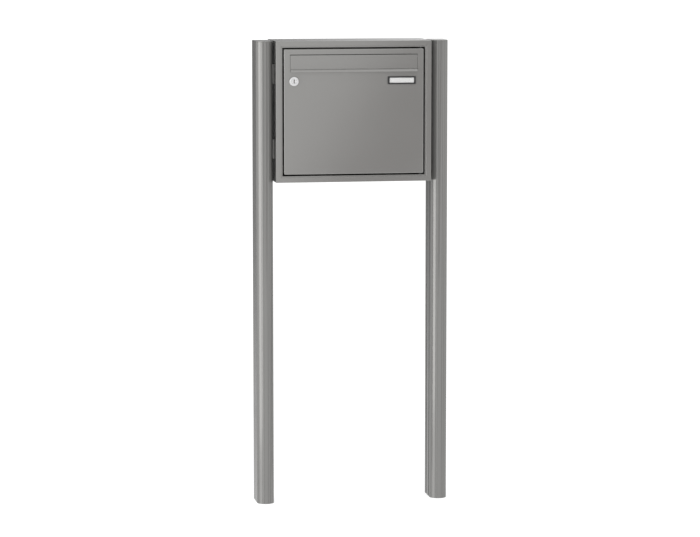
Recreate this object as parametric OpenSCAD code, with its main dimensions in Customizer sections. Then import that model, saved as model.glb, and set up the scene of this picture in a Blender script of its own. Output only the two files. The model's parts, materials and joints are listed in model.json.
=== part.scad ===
// Free-standing letterbox: one front-opening compartment carried between two D-shaped posts.
// X runs to the viewer's right, Y runs away from the viewer, Z runs up.
// The origin is the middle of the footprint of the whole object, at ground level.
// Depths, called d below, are measured from the front face of the frame into the box.

/* [Overall] */
// Height of the posts and of the top of the box
total_h = 1200; // [1000:5:1500]

/* [Casing] */
// Width over the casing and its front frame
casing_w = 404; // [390:1:440]
// Height over the casing and its front frame
casing_h = 362; // [340:1:400]
// Depth from the frame's front face to the back panel's outer face
casing_d = 145; // [130:1:180]
// Thickness of the folded sheets
skin_t = 1.5; // [1.2:0.1:1.8]
// Height of the folded joining flanges
flange_w = 14; // [12:0.5:18]
// Clearance between pieces that slide into each other
fit = 0.2; // [0.1:0.05:0.3]

/* [Front frame] */
// Width of a frame rail, from the outer edge to the opening
rail_w = 16.5; // [15.5:0.1:18]
// Width of the raised outer face of a rail
rail_face = 12.5; // [11.5:0.1:13]
// Wall of the rail's section
rail_t = 1.8; // [1.5:0.1:2]
// How far the inner strip of a rail lies behind its face
rebate = 2; // [1.5:0.1:2.2]
// Depth of the rail's inner return, which lines the opening
return_d = 20; // [18.5:0.5:24]
// Depth of the rail's outer leg, which sits inside the casing
leg_d = 22; // [20:0.5:26]
// Open line left at each mitred corner
mitre_gap = 0.1; // [0.05:0.05:0.2]
// Length of each arm of a corner key
key_len = 45; // [36:1:55]
// Thickness of a corner key
key_t = 3; // [2:0.25:4]
// Depth at which the corner keys lie
key_d = 10; // [9:0.5:12]

/* [Door] */
// Gap round the door
door_gap = 4; // [3.5:0.1:5]
// Depth of the door's folded edge
door_edge = 15; // [13:0.5:16]
// Distance from the door's right edge to the hinge axis
hinge_in = 7; // [6:0.1:8]
// Depth of the hinge axis
hinge_d = 6; // [6:0.1:6.5]
// Radius of the hinge pins
pin_r = 2; // [1.6:0.05:2]
// Length of a hinge pin inside the door
pin_in = 9; // [7:0.5:12]
// Wall of a hinge bush
bush_wall = 1.2; // [0.8:0.1:1.4]
// Height of a bush's flange
bush_flange_t = 1; // [0.6:0.1:1.2]
// Radial running clearance of the pins
run = 0.05; // [0.02:0.01:0.08]
// Distance from the door's bottom edge to the middle of the stiffener
stiffener_up = 120; // [80:1:150]
// Height of the raised part of the stiffener
stiffener_h = 30; // [20:1:40]
// Depth of the stiffener
stiffener_d = 10; // [6:0.5:12]
// Distance from the door's top and bottom edges to the door stops
stop_in = 30; // [24:1:40]
// Height of a door stop
stop_h = 24; // [16:1:28]

/* [Letter flap] */
// Distance from the door's side edges to the flap
flap_side = 16.5; // [16.5:0.1:20]
// Distance from the door's top edge to the cut-out
cut_top_in = 12.5; // [12:0.1:16]
// Gap above the flap
flap_top_gap = 3; // [3:0.1:4]
// Gap at each end of the flap
flap_end_gap = 1; // [0.6:0.1:1.4]
// Height of the flat part of the flap
flap_h = 38; // [36:0.5:42]
// Thickness of the flap
flap_t = 2; // [1.6:0.1:2.2]
// How far the grip lip stands out of the door
lip_out = 6; // [5:0.1:6.5]
// Height of the grip lip
lip_h = 6.5; // [5:0.1:8]
// Radius of the rolled hinge edge behind the flap
knuckle_r = 4; // [3.6:0.1:4.2]
// Distance of the flap's axis below its top edge
axis_down = 4.5; // [4.4:0.1:4.8]
// Depth of the flap's axis
axis_d = 5.5; // [5.3:0.1:5.7]
// Radius of the flap's pins
flap_pin_r = 1.5; // [1.2:0.1:1.6]
// Wall of the flap's bushes
flap_bush_wall = 0.8; // [0.6:0.1:1]
// Length of a flap bush
flap_bush_len = 14; // [10:1:20]
// Depth of the letter throat
throat_d = 40; // [34:1:48]
// Thickness of the throat's sheets
throat_t = 1.2; // [1:0.1:1.4]
// Width of the throat's fixing tabs
tab_w = 8; // [7.5:0.1:8.5]
// Radius of the welded studs that hold the throat
stud_r = 1.6; // [1.3:0.1:1.8]
// Length of the welded studs
stud_len = 6; // [5.5:0.5:8]

/* [Lock] */
// Distance from the door's left edge to the lock
lock_in = 25.8; // [25:0.1:28]
// Distance from the door's top edge to the lock
lock_down = 82; // [78:0.5:100]
// Radius of the lock's rose
rose_r = 11.8; // [10.5:0.1:12.5]
// How far the rose stands out of the door
rose_t = 4.5; // [3:0.1:5]
// Chamfer of the rose
rose_chamfer = 1; // [0.5:0.1:1.5]
// Radius of the lock's barrel
barrel_r = 9; // [8.6:0.1:9.5]
// Radius of the turning plug
plug_r = 6.5; // [6:0.1:7]
// Height of the key slot
slot_h = 10; // [8:0.5:11]
// Width of the key slot
slot_w = 2.8; // [2:0.1:3.2]
// Thickness of the cam
cam_t = 2.5; // [2:0.1:3]
// Width of the cam
cam_w = 14; // [12:0.5:16]
// Reach of the cam from the lock's axis
cam_reach = 37; // [36.5:0.5:40]
// Side of the plug's square tail
tail_w = 7; // [6:0.1:8]
// Height of the strike plate
strike_h = 40; // [30:1:50]
// Thickness of the strike plate
strike_t = 1; // [0.8:0.1:1]

/* [Nameplate] */
// Width of the nameplate frame
plate_w = 73; // [60:0.5:90]
// Height of the nameplate frame
plate_h = 20; // [18:0.5:26]
// Width of the side borders
border_w = 4.7; // [4.4:0.1:7]
// Width of the top and bottom borders
border_h = 3.5; // [3.2:0.1:5]
// How far the frame stands out of the door
plate_t = 2.6; // [2.4:0.1:3]
// Distance from the door's right edge to the nameplate
plate_in = 21; // [14:0.1:30]
// How far the nameplate sits above the lock's height
plate_up = 0.8; // [0:0.1:3]
// Thickness of the clear window
window_t = 1; // [0.8:0.1:1.1]
// Thickness of the name card
card_t = 0.4; // [0.3:0.05:0.5]

/* [Posts] */
// Width of a post, and twice the radius of its round nose
post_w = 44; // [42:0.5:50]
// Depth of a post
post_depth = 86; // [82:0.5:100]
// Wall of the post's section
post_wall = 2.5; // [2:0.1:3]
// Radius of the post's back edges
post_edge_r = 1.5; // [0.5:0.1:2]
// Distance from the frame's front face back to the post's nose
nose_d = 11; // [9:0.5:20]
// Gap between the casing and a post
post_gap = 4.5; // [3:0.1:6]
// Thickness of a post cap
cap_t = 2.5; // [2:0.1:4]
// Length of the cap's plug
cap_plug = 14; // [8:1:24]
// Height of a foot insert
foot_h = 60; // [50:1:90]
// Core radius of the anchor thread in the foot
anchor_r = 5.1; // [4:0.05:6]
// Depth of the anchor thread
anchor_len = 45; // [30:1:48]
// Height of the foot's fixing screws above the ground
foot_screw_z = 52; // [52:0.5:56]
// Radius of the foot's fixing screws
foot_screw_r = 2.4; // [2:0.1:2.6]

/* [Fixing channels] */
// Mouth of a channel
slot_mouth = 8.5; // [8:0.1:9.5]
// Width of the channel behind its lips
slot_cavity = 15; // [14:0.1:16]
// Depth of the channel behind its lips
slot_depth = 7; // [6.5:0.1:8]
// Distance between the two channels of a post
slot_pitch = 33; // [28:0.5:33]
// Distance from the post's nose to the middle of the channels
slot_mid = 49.5; // [48:0.5:50]
// Height of a spacer block
spacer_h = 50; // [36:1:60]
// Distance from the casing's top and bottom to the spacers
spacer_in = 84.5; // [60:0.5:88]
// Radius of the mounting bolts
bolt_r = 3; // [2.5:0.1:3.2]
// Radius of the bolts' heads
bolt_head_r = 5.5; // [5:0.1:6]
// Thickness of a channel nut
nut_t = 4; // [3:0.1:4.5]
// Height of a channel nut
nut_h = 18; // [12:0.5:24]
// Thickness of the washers
washer_t = 1.2; // [1:0.1:1.6]

/* [Rivets] */
// Radius of a rivet's shank
rivet_r = 1.6; // [1.4:0.1:1.8]
// Radius of a rivet's head
rivet_head_r = 3; // [2.5:0.1:3.2]
// Height of a rivet's head
rivet_head_t = 0.9; // [0.6:0.1:1.2]

/* [Hidden] */
$fn = 48;

// Colours
paint = [0.56, 0.56, 0.55];
steel = [0.72, 0.73, 0.74];
bright = [0.86, 0.86, 0.87];
plastic = [0.25, 0.25, 0.26];
nylon = [0.23, 0.23, 0.23];
blackened = [0.2, 0.2, 0.2];
rubber = [0.1, 0.1, 0.1];
white = [0.95, 0.95, 0.94];
clear = [0.85, 0.9, 0.92, 0.3];

// Small clearance at which pieces sit beside each other, and the overlap of a cut past a face
seat = 0.3;
past = 1;

// Levels and faces of the casing
front_y = (max(lip_out, rose_t) - casing_d) / 2;
top_z = total_h;
bottom_z = total_h - casing_h;
mid_z = (top_z + bottom_z) / 2;
side_x = casing_w / 2;
inner_x = side_x - skin_t;
inner_top = top_z - skin_t;
inner_bottom = bottom_z + skin_t;
leg_out = skin_t + fit;
leg_in = leg_out + rail_t;
return_u = rail_w - rail_t;
back_flange_d = casing_d - flange_w;

// Door edges
door_x = side_x - rail_w - door_gap;
door_top = top_z - rail_w - door_gap;
door_bottom = bottom_z + rail_w + door_gap;
hinge_x = door_x - hinge_in;
bush_r = pin_r + run + bush_wall;
bush_flange_over = 1;
bush_flange_r = bush_r + bush_flange_over;
stiffener_foot = 10;

// Door stops: reach inside the door's edge, and how their buffers stand to the edge and to the stop
stop_over = 4;
buffer_out = 1;
buffer_over = 3;
buffer_short = 2;

// Letter flap and throat
cut_top = door_top - cut_top_in;
flap_top = cut_top - flap_top_gap;
flap_x = door_x - flap_side;
cut_x = flap_x + flap_end_gap;
crease_z = flap_top - flap_h;
cut_bottom = crease_z + flap_t / 2 - flap_t * lip_h / lip_out - 2 * seat;
axis_z = flap_top - axis_down;
flap_bush_r = flap_pin_r + run + flap_bush_wall;
cheek_x = cut_x + fit;
throat_ceiling = cut_top + past;
throat_floor = cut_bottom - past;
cheek_pin_len = throat_t + fit + flap_end_gap + flap_bush_len - past;
stud_nut_ratio = 2;
stud_nut_r = stud_r * stud_nut_ratio;
stud_nut_t = 2.4;
flap_pin_head_ratio = 1.8;
flap_pin_head_r = flap_pin_r * flap_pin_head_ratio;
// Places along the flap, as shares of its half width
stud_share = 0.6;
throat_stud_x = flap_x * stud_share;
buffer_share = 0.75;
buffer_x = flap_x * buffer_share;
buffer_size = 5;

// Lock
lock_x = lock_in - door_x;
lock_z = door_top - lock_down;
cam_d = return_d + strike_t + seat;
plug_end = cam_d - fit;
tail_len = cam_t - fit;
cam_screw_r = 1.8;
cam_screw_head_r = 4.5;
cam_screw_head_t = 2.5;
cam_screw_len = 8;
cam_hub_over = 1;
cam_hub_r = tail_w + cam_hub_over;
lock_nut_t = 4;
lock_nut_ratio = 1.5;
lock_nut_r = barrel_r * lock_nut_ratio;

// Nameplate
plate_x = door_x - plate_in - plate_w / 2;
plate_z = lock_z + plate_up;
pocket_over = 1.2;
peg_r = 1.5;
peg_x = plate_w / 2 - (border_w - pocket_over) / 2;

// Posts, in depth from the frame's front face
post_in = side_x + post_gap;
post_out = post_in + post_w;
tangent_d = nose_d + post_w / 2;
post_back_d = nose_d + post_depth;
slot_web = 2;
slot_inner = post_wall + slot_depth + slot_web;
slots_d = [nose_d + slot_mid - slot_pitch / 2, nose_d + slot_mid + slot_pitch / 2];
insert_x0 = post_in + slot_inner + seat;
insert_x1 = post_out - post_wall - seat;
insert_d0 = tangent_d;
insert_d1 = post_back_d - post_wall - seat;
insert_x = (insert_x0 + insert_x1) / 2;
insert_d = (insert_d0 + insert_d1) / 2;
foot_screw_pitch = 14;
foot_screws_x = [insert_x - foot_screw_pitch / 2, insert_x + foot_screw_pitch / 2];
foot_screw_len = 14;
foot_screw_head_ratio = 1.9;
foot_screw_head_r = foot_screw_r * foot_screw_head_ratio;
least_edge_r = 0.2;
spacer_d0 = slots_d[0] - slot_cavity / 2 - slot_web;
spacer_d1 = slots_d[1] + slot_cavity / 2 + slot_web;
spacers_z = [top_z - spacer_in, bottom_z + spacer_in];
bolt_head_t = 3.4;
bolt_end_x = post_in + post_wall + nut_t + past;
washer_over = 1.5;
washer_r = bolt_head_r + washer_over;

// Rows of rivets: along the casing's side joints, its back joints and the front frame
side_rivets_d = [for (i = [0 : 2]) leg_d + flange_w + i * (back_flange_d - leg_d - 2 * flange_w) / 2];
back_rivets_z = [for (i = [-1 : 1]) mid_z + i * (casing_h / 2 - 3 * flange_w)];
frame_rivets_z = [for (i = [-1 : 1]) mid_z + i * (casing_h / 2 - key_len - 2 * flange_w)];
frame_rivets_x = [for (i = [-1 : 1]) i * (side_x - key_len - 2 * flange_w)];
frame_rivet_d = leg_d - rivet_head_r - past;
back_rivet_d = casing_d - flange_w / 2 - skin_t / 2;
side_rivet_in = (flange_w + skin_t) / 2;

// Helpers: every shape is given in x, depth d and z

module block(x, d, z) {
  translate([x[0], front_y + d[0], z[0]])
    cube([x[1] - x[0], d[1] - d[0], z[1] - z[0]]);
}

module along_x(x) {
  translate([x[0], front_y, 0])
    rotate([90, 0, 90])
      linear_extrude(x[1] - x[0])
        children();
}

module along_d(d) {
  translate([0, front_y + d[1], 0])
    rotate([90, 0, 0])
      linear_extrude(d[1] - d[0])
        children();
}

module along_z(z) {
  translate([0, front_y, z[0]])
    linear_extrude(z[1] - z[0])
      children();
}

module rod_x(x, d, z, r) {
  along_x(x)
    translate([d, z])
      circle(r);
}

module rod_d(x, d, z, r) {
  along_d(d)
    translate([x, z])
      circle(r);
}

module rod_z(x, d, z, r) {
  along_z(z)
    translate([x, d])
      circle(r);
}

module sided(side) {
  mirror([side < 0 ? 1 : 0, 0, 0])
    children();
}

// A rectangle between two corners, given as its two ranges
module span(a, b) {
  translate([a[0], b[0]])
    square([a[1] - a[0], b[1] - b[0]]);
}

// Posts

module post_outline(inset) {
  edge_r = max(post_edge_r - inset, least_edge_r);
  x0 = post_in + inset;
  x1 = post_out - inset;
  back = post_back_d - inset;
  translate([post_in + post_w / 2, tangent_d])
    circle(post_w / 2 - inset);
  span([x0, x1], [tangent_d, back - edge_r]);
  span([x0 + edge_r, x1 - edge_r], [tangent_d, back]);
  for (x = [x0 + edge_r, x1 - edge_r])
    translate([x, back - edge_r])
      circle(edge_r);
}

module post_section() {
  difference() {
    post_outline(0);
    difference() {
      post_outline(post_wall);
      for (d = slots_d)
        span([post_in, post_in + slot_inner],
             [d - slot_cavity / 2 - slot_web, d + slot_cavity / 2 + slot_web]);
    }
    for (d = slots_d) {
      span([post_in - past, post_in + post_wall + past], [d - slot_mouth / 2, d + slot_mouth / 2]);
      span([post_in + post_wall, post_in + post_wall + slot_depth],
           [d - slot_cavity / 2, d + slot_cavity / 2]);
    }
  }
}

module post(side) {
  color(paint)
    sided(side)
      difference() {
        along_z([0, total_h - cap_t])
          post_section();
        for (x = foot_screws_x)
          rod_d(x, [insert_d1, post_back_d + past], foot_screw_z, foot_screw_r + fit);
      }
}

module post_cap(side) {
  color(paint)
    sided(side) {
      along_z([total_h - cap_t, total_h])
        post_outline(0);
      along_z([total_h - cap_t - cap_plug, total_h - cap_t])
        span([insert_x0, insert_x1], [insert_d0, insert_d1]);
    }
}

module foot_insert(side) {
  color(steel)
    sided(side)
      difference() {
        block([insert_x0, insert_x1], [insert_d0, insert_d1], [0, foot_h]);
        rod_z(insert_x, insert_d, [-past, anchor_len], anchor_r);
        for (x = foot_screws_x)
          rod_d(x, [insert_d1 - foot_screw_len, insert_d1 + past], foot_screw_z, foot_screw_r + run);
      }
}

module foot_screws() {
  color(steel)
    for (side = [-1, 1], x = foot_screws_x)
      sided(side) {
        rod_d(x, [insert_d1 - foot_screw_len + past, post_back_d], foot_screw_z, foot_screw_r);
        rod_d(x, [post_back_d, post_back_d + foot_screw_r], foot_screw_z, foot_screw_head_r);
      }
}

// Fixing of the box to the posts

module at_bolts() {
  for (side = [-1, 1], z = spacers_z, d = slots_d)
    sided(side)
      translate([0, front_y + d, z])
        rotate([0, 90, 0])
          children();
}

module spacer(side, z) {
  color(paint)
    sided(side)
      difference() {
        block([side_x, post_in], [spacer_d0, spacer_d1], [z - spacer_h / 2, z + spacer_h / 2]);
        for (d = slots_d)
          rod_x([side_x - past, post_in + past], d, z, bolt_r + fit);
      }
}

module channel_nuts() {
  color(steel)
    for (side = [-1, 1], z = spacers_z, d = slots_d)
      sided(side)
        difference() {
          block([post_in + post_wall, post_in + post_wall + nut_t],
                [d - slot_cavity / 2 + fit, d + slot_cavity / 2 - fit], [z - nut_h / 2, z + nut_h / 2]);
          rod_x([post_in, bolt_end_x], d, z, bolt_r + run);
        }
}

module mounting_bolts() {
  color(steel)
    at_bolts() {
      translate([0, 0, inner_x - washer_t])
        cylinder(r = bolt_r, h = bolt_end_x - inner_x + washer_t);
      difference() {
        translate([0, 0, inner_x - washer_t - bolt_head_t])
          cylinder(r = bolt_head_r, h = bolt_head_t);
        translate([0, 0, inner_x - washer_t - bolt_head_t - past])
          cylinder(r = bolt_r, h = bolt_head_t / 2 + past, $fn = 6);
      }
    }
}

module bolt_washers() {
  color(steel)
    at_bolts()
      translate([0, 0, inner_x - washer_t])
        difference() {
          cylinder(r = washer_r, h = washer_t);
          translate([0, 0, -past])
            cylinder(r = bolt_r + fit, h = washer_t + 2 * past);
        }
}

// Casing: four wrap panels and a back tray

module side_rivet_holes() {
  for (side = [-1, 1], level = [top_z - side_rivet_in, bottom_z + side_rivet_in], d = side_rivets_d)
    sided(side)
      rod_x([inner_x - skin_t - past, side_x + past], d, level, rivet_r + run);
}

module wrap_panel(level, up) {
  z = up ? [inner_top, top_z] : [bottom_z, inner_bottom];
  flange = up ? [top_z - flange_w, inner_top] : [inner_bottom, bottom_z + flange_w];
  color(paint)
    difference() {
      union() {
        block([-side_x, side_x], [rail_t, casing_d], z);
        for (side = [-1, 1])
          sided(side)
            block([inner_x - skin_t, inner_x], [leg_d + fit, back_flange_d - fit], flange);
      }
      side_rivet_holes();
      for (x = frame_rivets_x)
        rod_z(x, frame_rivet_d, [level - 2 * skin_t, level + 2 * skin_t], rivet_r + run);
    }
}

module side_panel(side) {
  color(paint)
    sided(side)
      difference() {
        block([inner_x, side_x], [rail_t, casing_d], [inner_bottom, inner_top]);
        side_rivet_holes();
        for (z = frame_rivets_z)
          rod_x([inner_x - past, side_x + past], frame_rivet_d, z, rivet_r + run);
        for (z = back_rivets_z)
          rod_x([inner_x - past, side_x + past], back_rivet_d, z, rivet_r + run);
        for (z = spacers_z, d = slots_d)
          rod_x([inner_x - past, side_x + past], d, z, bolt_r + fit);
      }
}

module back_panel() {
  x = inner_x - fit;
  z = [inner_bottom + fit, inner_top - fit];
  color(paint)
    difference() {
      block([-x, x], [back_flange_d, casing_d], z);
      block([-x + skin_t, x - skin_t], [back_flange_d - past, casing_d - skin_t],
            [z[0] + skin_t, z[1] - skin_t]);
      for (side = [-1, 1], level = back_rivets_z)
        sided(side)
          rod_x([x - skin_t - past, x + past], back_rivet_d, level, rivet_r + run);
    }
}

module casing_rivets() {
  tray_x = inner_x - fit - skin_t;
  color(steel)
    for (side = [-1, 1])
      sided(side) {
        for (level = [top_z - side_rivet_in, bottom_z + side_rivet_in], d = side_rivets_d) {
          rod_x([inner_x - skin_t, side_x], d, level, rivet_r);
          rod_x([inner_x - skin_t - rivet_head_t, inner_x - skin_t], d, level, rivet_head_r);
        }
        for (z = back_rivets_z) {
          rod_x([tray_x, side_x], back_rivet_d, z, rivet_r);
          rod_x([tray_x - rivet_head_t, tray_x], back_rivet_d, z, rivet_head_r);
        }
      }
}

// Front frame: four mitred rails, given as u inwards from the outer edge and d in depth

function rail_points() = [
  [0, 0],
  [rail_face, 0],
  [rail_face, rebate],
  [rail_w, rebate],
  [rail_w, return_d],
  [return_u, return_d],
  [return_u, rebate + rail_t],
  [rail_face - rail_t, rebate + rail_t],
  [rail_face - rail_t, rail_t],
  [leg_in, rail_t],
  [leg_in, leg_d],
  [leg_out, leg_d],
  [leg_out, rail_t],
  [0, rail_t]
];

module mitre(length) {
  cut = rail_w + past;
  g = mitre_gap / 2;
  polygon([[0, g], [cut, cut + g], [cut, length - cut - g], [0, length - g]]);
}

// A rail stands on the origin with u along X and its length along Z
module rail(length) {
  intersection() {
    translate([0, front_y, 0])
      linear_extrude(length)
        polygon(rail_points());
    along_d([-past, leg_d + past])
      mitre(length);
  }
}

module upright_rail(side) {
  color(paint)
    difference() {
      sided(side)
        translate([side_x, 0, bottom_z])
          mirror([1, 0, 0])
            rail(casing_h);
      for (z = frame_rivets_z)
        sided(side)
          rod_x([side_x - leg_in - past, side_x], frame_rivet_d, z, rivet_r + run);
    }
}

module level_rail(up) {
  edge = up ? top_z : bottom_z;
  opening_z = edge + (up ? -rail_w : rail_w);
  color(paint)
    difference() {
      translate([-side_x, 0, edge])
        mirror([0, 0, up ? 1 : 0])
          rotate([0, 90, 0])
            mirror([1, 0, 0])
              rail(casing_w);
      for (x = frame_rivets_x)
        rod_z(x, frame_rivet_d, [edge - leg_in - past, edge + leg_in + past], rivet_r + run);
      rod_z(hinge_x, hinge_d, [opening_z - rail_t - past, opening_z + rail_t + past], pin_r + run);
    }
}

module corner_keys() {
  u0 = leg_in + fit;
  u1 = return_u - fit;
  color(steel)
    along_d([key_d, key_d + key_t])
      for (side = [0, 1], up = [0, 1])
        mirror([side, 0])
          translate([side_x, up ? top_z : bottom_z])
            mirror([1, 0])
              mirror([0, up]) {
                span([u0, key_len], [u0, u1]);
                span([u0, u1], [u0, key_len]);
              }
}

module frame_rivets() {
  color(steel) {
    for (side = [-1, 1], z = frame_rivets_z)
      sided(side) {
        rod_x([side_x - leg_in, side_x], frame_rivet_d, z, rivet_r);
        rod_x([side_x - leg_in - rivet_head_t, side_x - leg_in], frame_rivet_d, z, rivet_head_r);
      }
    for (x = frame_rivets_x) {
      rod_z(x, frame_rivet_d, [top_z - leg_in, top_z], rivet_r);
      rod_z(x, frame_rivet_d, [top_z - leg_in - rivet_head_t, top_z - leg_in], rivet_head_r);
      rod_z(x, frame_rivet_d, [bottom_z, bottom_z + leg_in], rivet_r);
      rod_z(x, frame_rivet_d, [bottom_z + leg_in, bottom_z + leg_in + rivet_head_t], rivet_head_r);
    }
  }
}

// Door hardware on the frame

module strike_plate() {
  x = -side_x + return_u;
  z = [lock_z - strike_h / 2, lock_z + strike_h / 2];
  color(steel) {
    block([x - strike_t, x], [return_d / 2, return_d + strike_t], z);
    block([x - strike_t, x + rail_t], [return_d, return_d + strike_t], z);
  }
}

module at_stops() {
  for (z = [door_top - stop_in, door_bottom + stop_in])
    translate([0, 0, z])
      children();
}

module door_stops() {
  x = -side_x + return_u;
  color(paint)
    at_stops()
      block([x, skin_t - door_x + stop_over], [return_d, return_d + skin_t], [-stop_h / 2, stop_h / 2]);
}

module stop_buffers() {
  half = stop_h / 2 - buffer_short;
  color(rubber)
    at_stops()
      block([-door_x - buffer_out, skin_t - door_x + buffer_over], [door_edge + seat, return_d],
            [-half, half]);
}

// A hinge pin held in a level rail, with a collar in the gap that the bush's flange runs on
module hinge_pin(up) {
  lip = up ? top_z - rail_w : bottom_z + rail_w;
  door_edge_z = up ? door_top : door_bottom;
  into = up ? -1 : 1;
  shank = [lip - into * rail_t, door_edge_z + into * pin_in];
  collar = [lip, door_edge_z - into * (bush_flange_t + fit)];
  color(blackened) {
    rod_z(hinge_x, hinge_d, [min(shank), max(shank)], pin_r);
    rod_z(hinge_x, hinge_d, [min(collar), max(collar)], pin_r + bush_wall);
  }
}

module hinge_bush(up) {
  edge = up ? door_top : door_bottom;
  into = up ? -1 : 1;
  barrel = [edge, edge + into * pin_in];
  flange = [edge, edge - into * bush_flange_t];
  color(nylon)
    difference() {
      union() {
        rod_z(hinge_x, hinge_d, [min(barrel), max(barrel)], bush_r);
        rod_z(hinge_x, hinge_d, [min(flange), max(flange)], bush_flange_r);
      }
      rod_z(hinge_x, hinge_d, [edge - pin_in - past, edge + pin_in + past], pin_r + run);
    }
}

// Door

module at_throat_studs() {
  tab_mid = throat_t + tab_w / 2;
  for (x = [-throat_stud_x, throat_stud_x], z = [throat_ceiling + tab_mid, throat_floor - tab_mid])
    translate([x, front_y, z])
      children();
  for (side = [-1, 1])
    translate([side * (cheek_x + tab_mid), front_y, (throat_floor + axis_z) / 2])
      children();
}

module door_panel() {
  color(paint) {
    difference() {
      block([-door_x, door_x], [0, door_edge], [door_bottom, door_top]);
      block([-door_x + skin_t, door_x - skin_t], [skin_t, door_edge + past],
            [door_bottom + skin_t, door_top - skin_t]);
      block([-cut_x, cut_x], [-past, skin_t + past], [cut_bottom, cut_top]);
      rod_d(lock_x, [-past, skin_t + past], lock_z, barrel_r + fit);
      for (side = [-1, 1])
        rod_d(plate_x + side * peg_x, [-past, skin_t + past], plate_z, peg_r + run);
      rod_z(hinge_x, hinge_d, [door_bottom - past, door_bottom + skin_t + past], bush_r + run);
      rod_z(hinge_x, hinge_d, [door_top - skin_t - past, door_top + past], bush_r + run);
    }
    at_throat_studs()
      translate([0, skin_t + stud_len, 0])
        rotate([90, 0, 0])
          cylinder(r = stud_r, h = stud_len);
  }
}

module door_stiffener() {
  z = door_bottom + stiffener_up;
  half = stiffener_h / 2;
  foot = half + stiffener_foot;
  near = skin_t;
  far = skin_t + stiffener_d;
  x = flap_x;
  color(paint)
    along_x([-x, x])
      polygon([
        [near, z - foot], [near, z - half + throat_t], [far - throat_t, z - half + throat_t],
        [far - throat_t, z + half - throat_t], [near, z + half - throat_t], [near, z + foot],
        [near + throat_t, z + foot], [near + throat_t, z + half], [far, z + half],
        [far, z - half], [near + throat_t, z - half], [near + throat_t, z - foot]
      ]);
}

module throat_shelf(face, tab) {
  color(paint)
    difference() {
      union() {
        block([-cheek_x, cheek_x], [skin_t, throat_d], [min(face), max(face)]);
        block([-cheek_x, cheek_x], [skin_t, skin_t + throat_t], [min(tab), max(tab)]);
      }
      at_throat_studs()
        translate([0, skin_t + stud_len, 0])
          rotate([90, 0, 0])
            cylinder(r = stud_r + fit, h = stud_len + past);
    }
}

module throat_top() {
  level = throat_ceiling + throat_t;
  throat_shelf([throat_ceiling, level], [throat_ceiling, level + tab_w]);
}

module throat_bottom() {
  level = throat_floor - throat_t;
  throat_shelf([level, throat_floor], [level - tab_w, throat_floor]);
}

module throat_cheek(side) {
  z = [throat_floor, throat_ceiling];
  color(paint)
    sided(side)
      difference() {
        union() {
          block([cheek_x, cheek_x + throat_t], [skin_t, throat_d], z);
          block([cheek_x, cheek_x + throat_t + tab_w], [skin_t, skin_t + throat_t], z);
        }
        rod_x([cheek_x - past, cheek_x + throat_t + past], axis_d, axis_z, flap_pin_r + run);
        at_throat_studs()
          translate([0, skin_t + stud_len, 0])
            rotate([90, 0, 0])
              cylinder(r = stud_r + fit, h = stud_len + past);
      }
}

module throat_nuts() {
  color(steel)
    at_throat_studs()
      translate([0, skin_t + throat_t + stud_nut_t, 0])
        rotate([90, 0, 0])
          difference() {
            cylinder(r = stud_nut_r, h = stud_nut_t, $fn = 6);
            translate([0, 0, -past])
              cylinder(r = stud_r + run, h = stud_nut_t + 2 * past);
          }
}

module flap_pin(side) {
  x = cheek_x + throat_t;
  color(steel)
    sided(side) {
      rod_x([x - cheek_pin_len, x], axis_d, axis_z, flap_pin_r);
      rod_x([x, x + past], axis_d, axis_z, flap_pin_head_r);
    }
}

module flap_buffers() {
  color(rubber)
    for (x = [-buffer_x, buffer_x])
      block([x - buffer_size, x + buffer_size], [flap_t + seat, flap_t + seat + buffer_size],
            [throat_floor, cut_bottom + buffer_size]);
}

// Nameplate

module nameplate_frame() {
  w = plate_w / 2;
  h = plate_h / 2;
  open_w = w - border_w;
  open_h = h - border_h;
  pocket_w = open_w + pocket_over;
  pocket_h = open_h + pocket_over;
  lip = plate_t - window_t - 2 * card_t;
  color(plastic) {
    difference() {
      block([plate_x - w, plate_x + w], [-plate_t, 0], [plate_z - h, plate_z + h]);
      block([plate_x - open_w, plate_x + open_w], [-plate_t - past, past],
            [plate_z - open_h, plate_z + open_h]);
      block([plate_x - pocket_w, plate_x + pocket_w], [lip - plate_t, past],
            [plate_z - pocket_h, plate_z + pocket_h]);
    }
    for (side = [-1, 1])
      rod_d(plate_x + side * peg_x, [-plate_t / 2, 2 * skin_t], plate_z, peg_r);
  }
}

module in_pocket(d) {
  w = plate_w / 2 - border_w + pocket_over - fit;
  h = plate_h / 2 - border_h + pocket_over - fit;
  block([plate_x - w, plate_x + w], d, [plate_z - h, plate_z + h]);
}

module card_window() {
  color(clear)
    in_pocket([-window_t - 2 * card_t, -2 * card_t]);
}

module name_card() {
  color(white)
    in_pocket([-2 * card_t, -card_t]);
}

// Lock

module about_lock() {
  translate([lock_x, front_y, lock_z])
    rotate([-90, 0, 0])
      children();
}

module lock_body() {
  color(bright)
    about_lock()
      rotate_extrude()
        polygon([
          [plug_r + run, -rose_t], [rose_r - rose_chamfer, -rose_t], [rose_r, rose_chamfer - rose_t],
          [rose_r, 0], [barrel_r, 0], [barrel_r, plug_end - past], [plug_r + run, plug_end - past]
        ]);
}

module lock_nut() {
  color(steel)
    about_lock()
      translate([0, 0, skin_t])
        difference() {
          cylinder(r = lock_nut_r, h = lock_nut_t, $fn = 6);
          translate([0, 0, -past])
            cylinder(r = barrel_r + run, h = lock_nut_t + 2 * past);
        }
}

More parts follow.
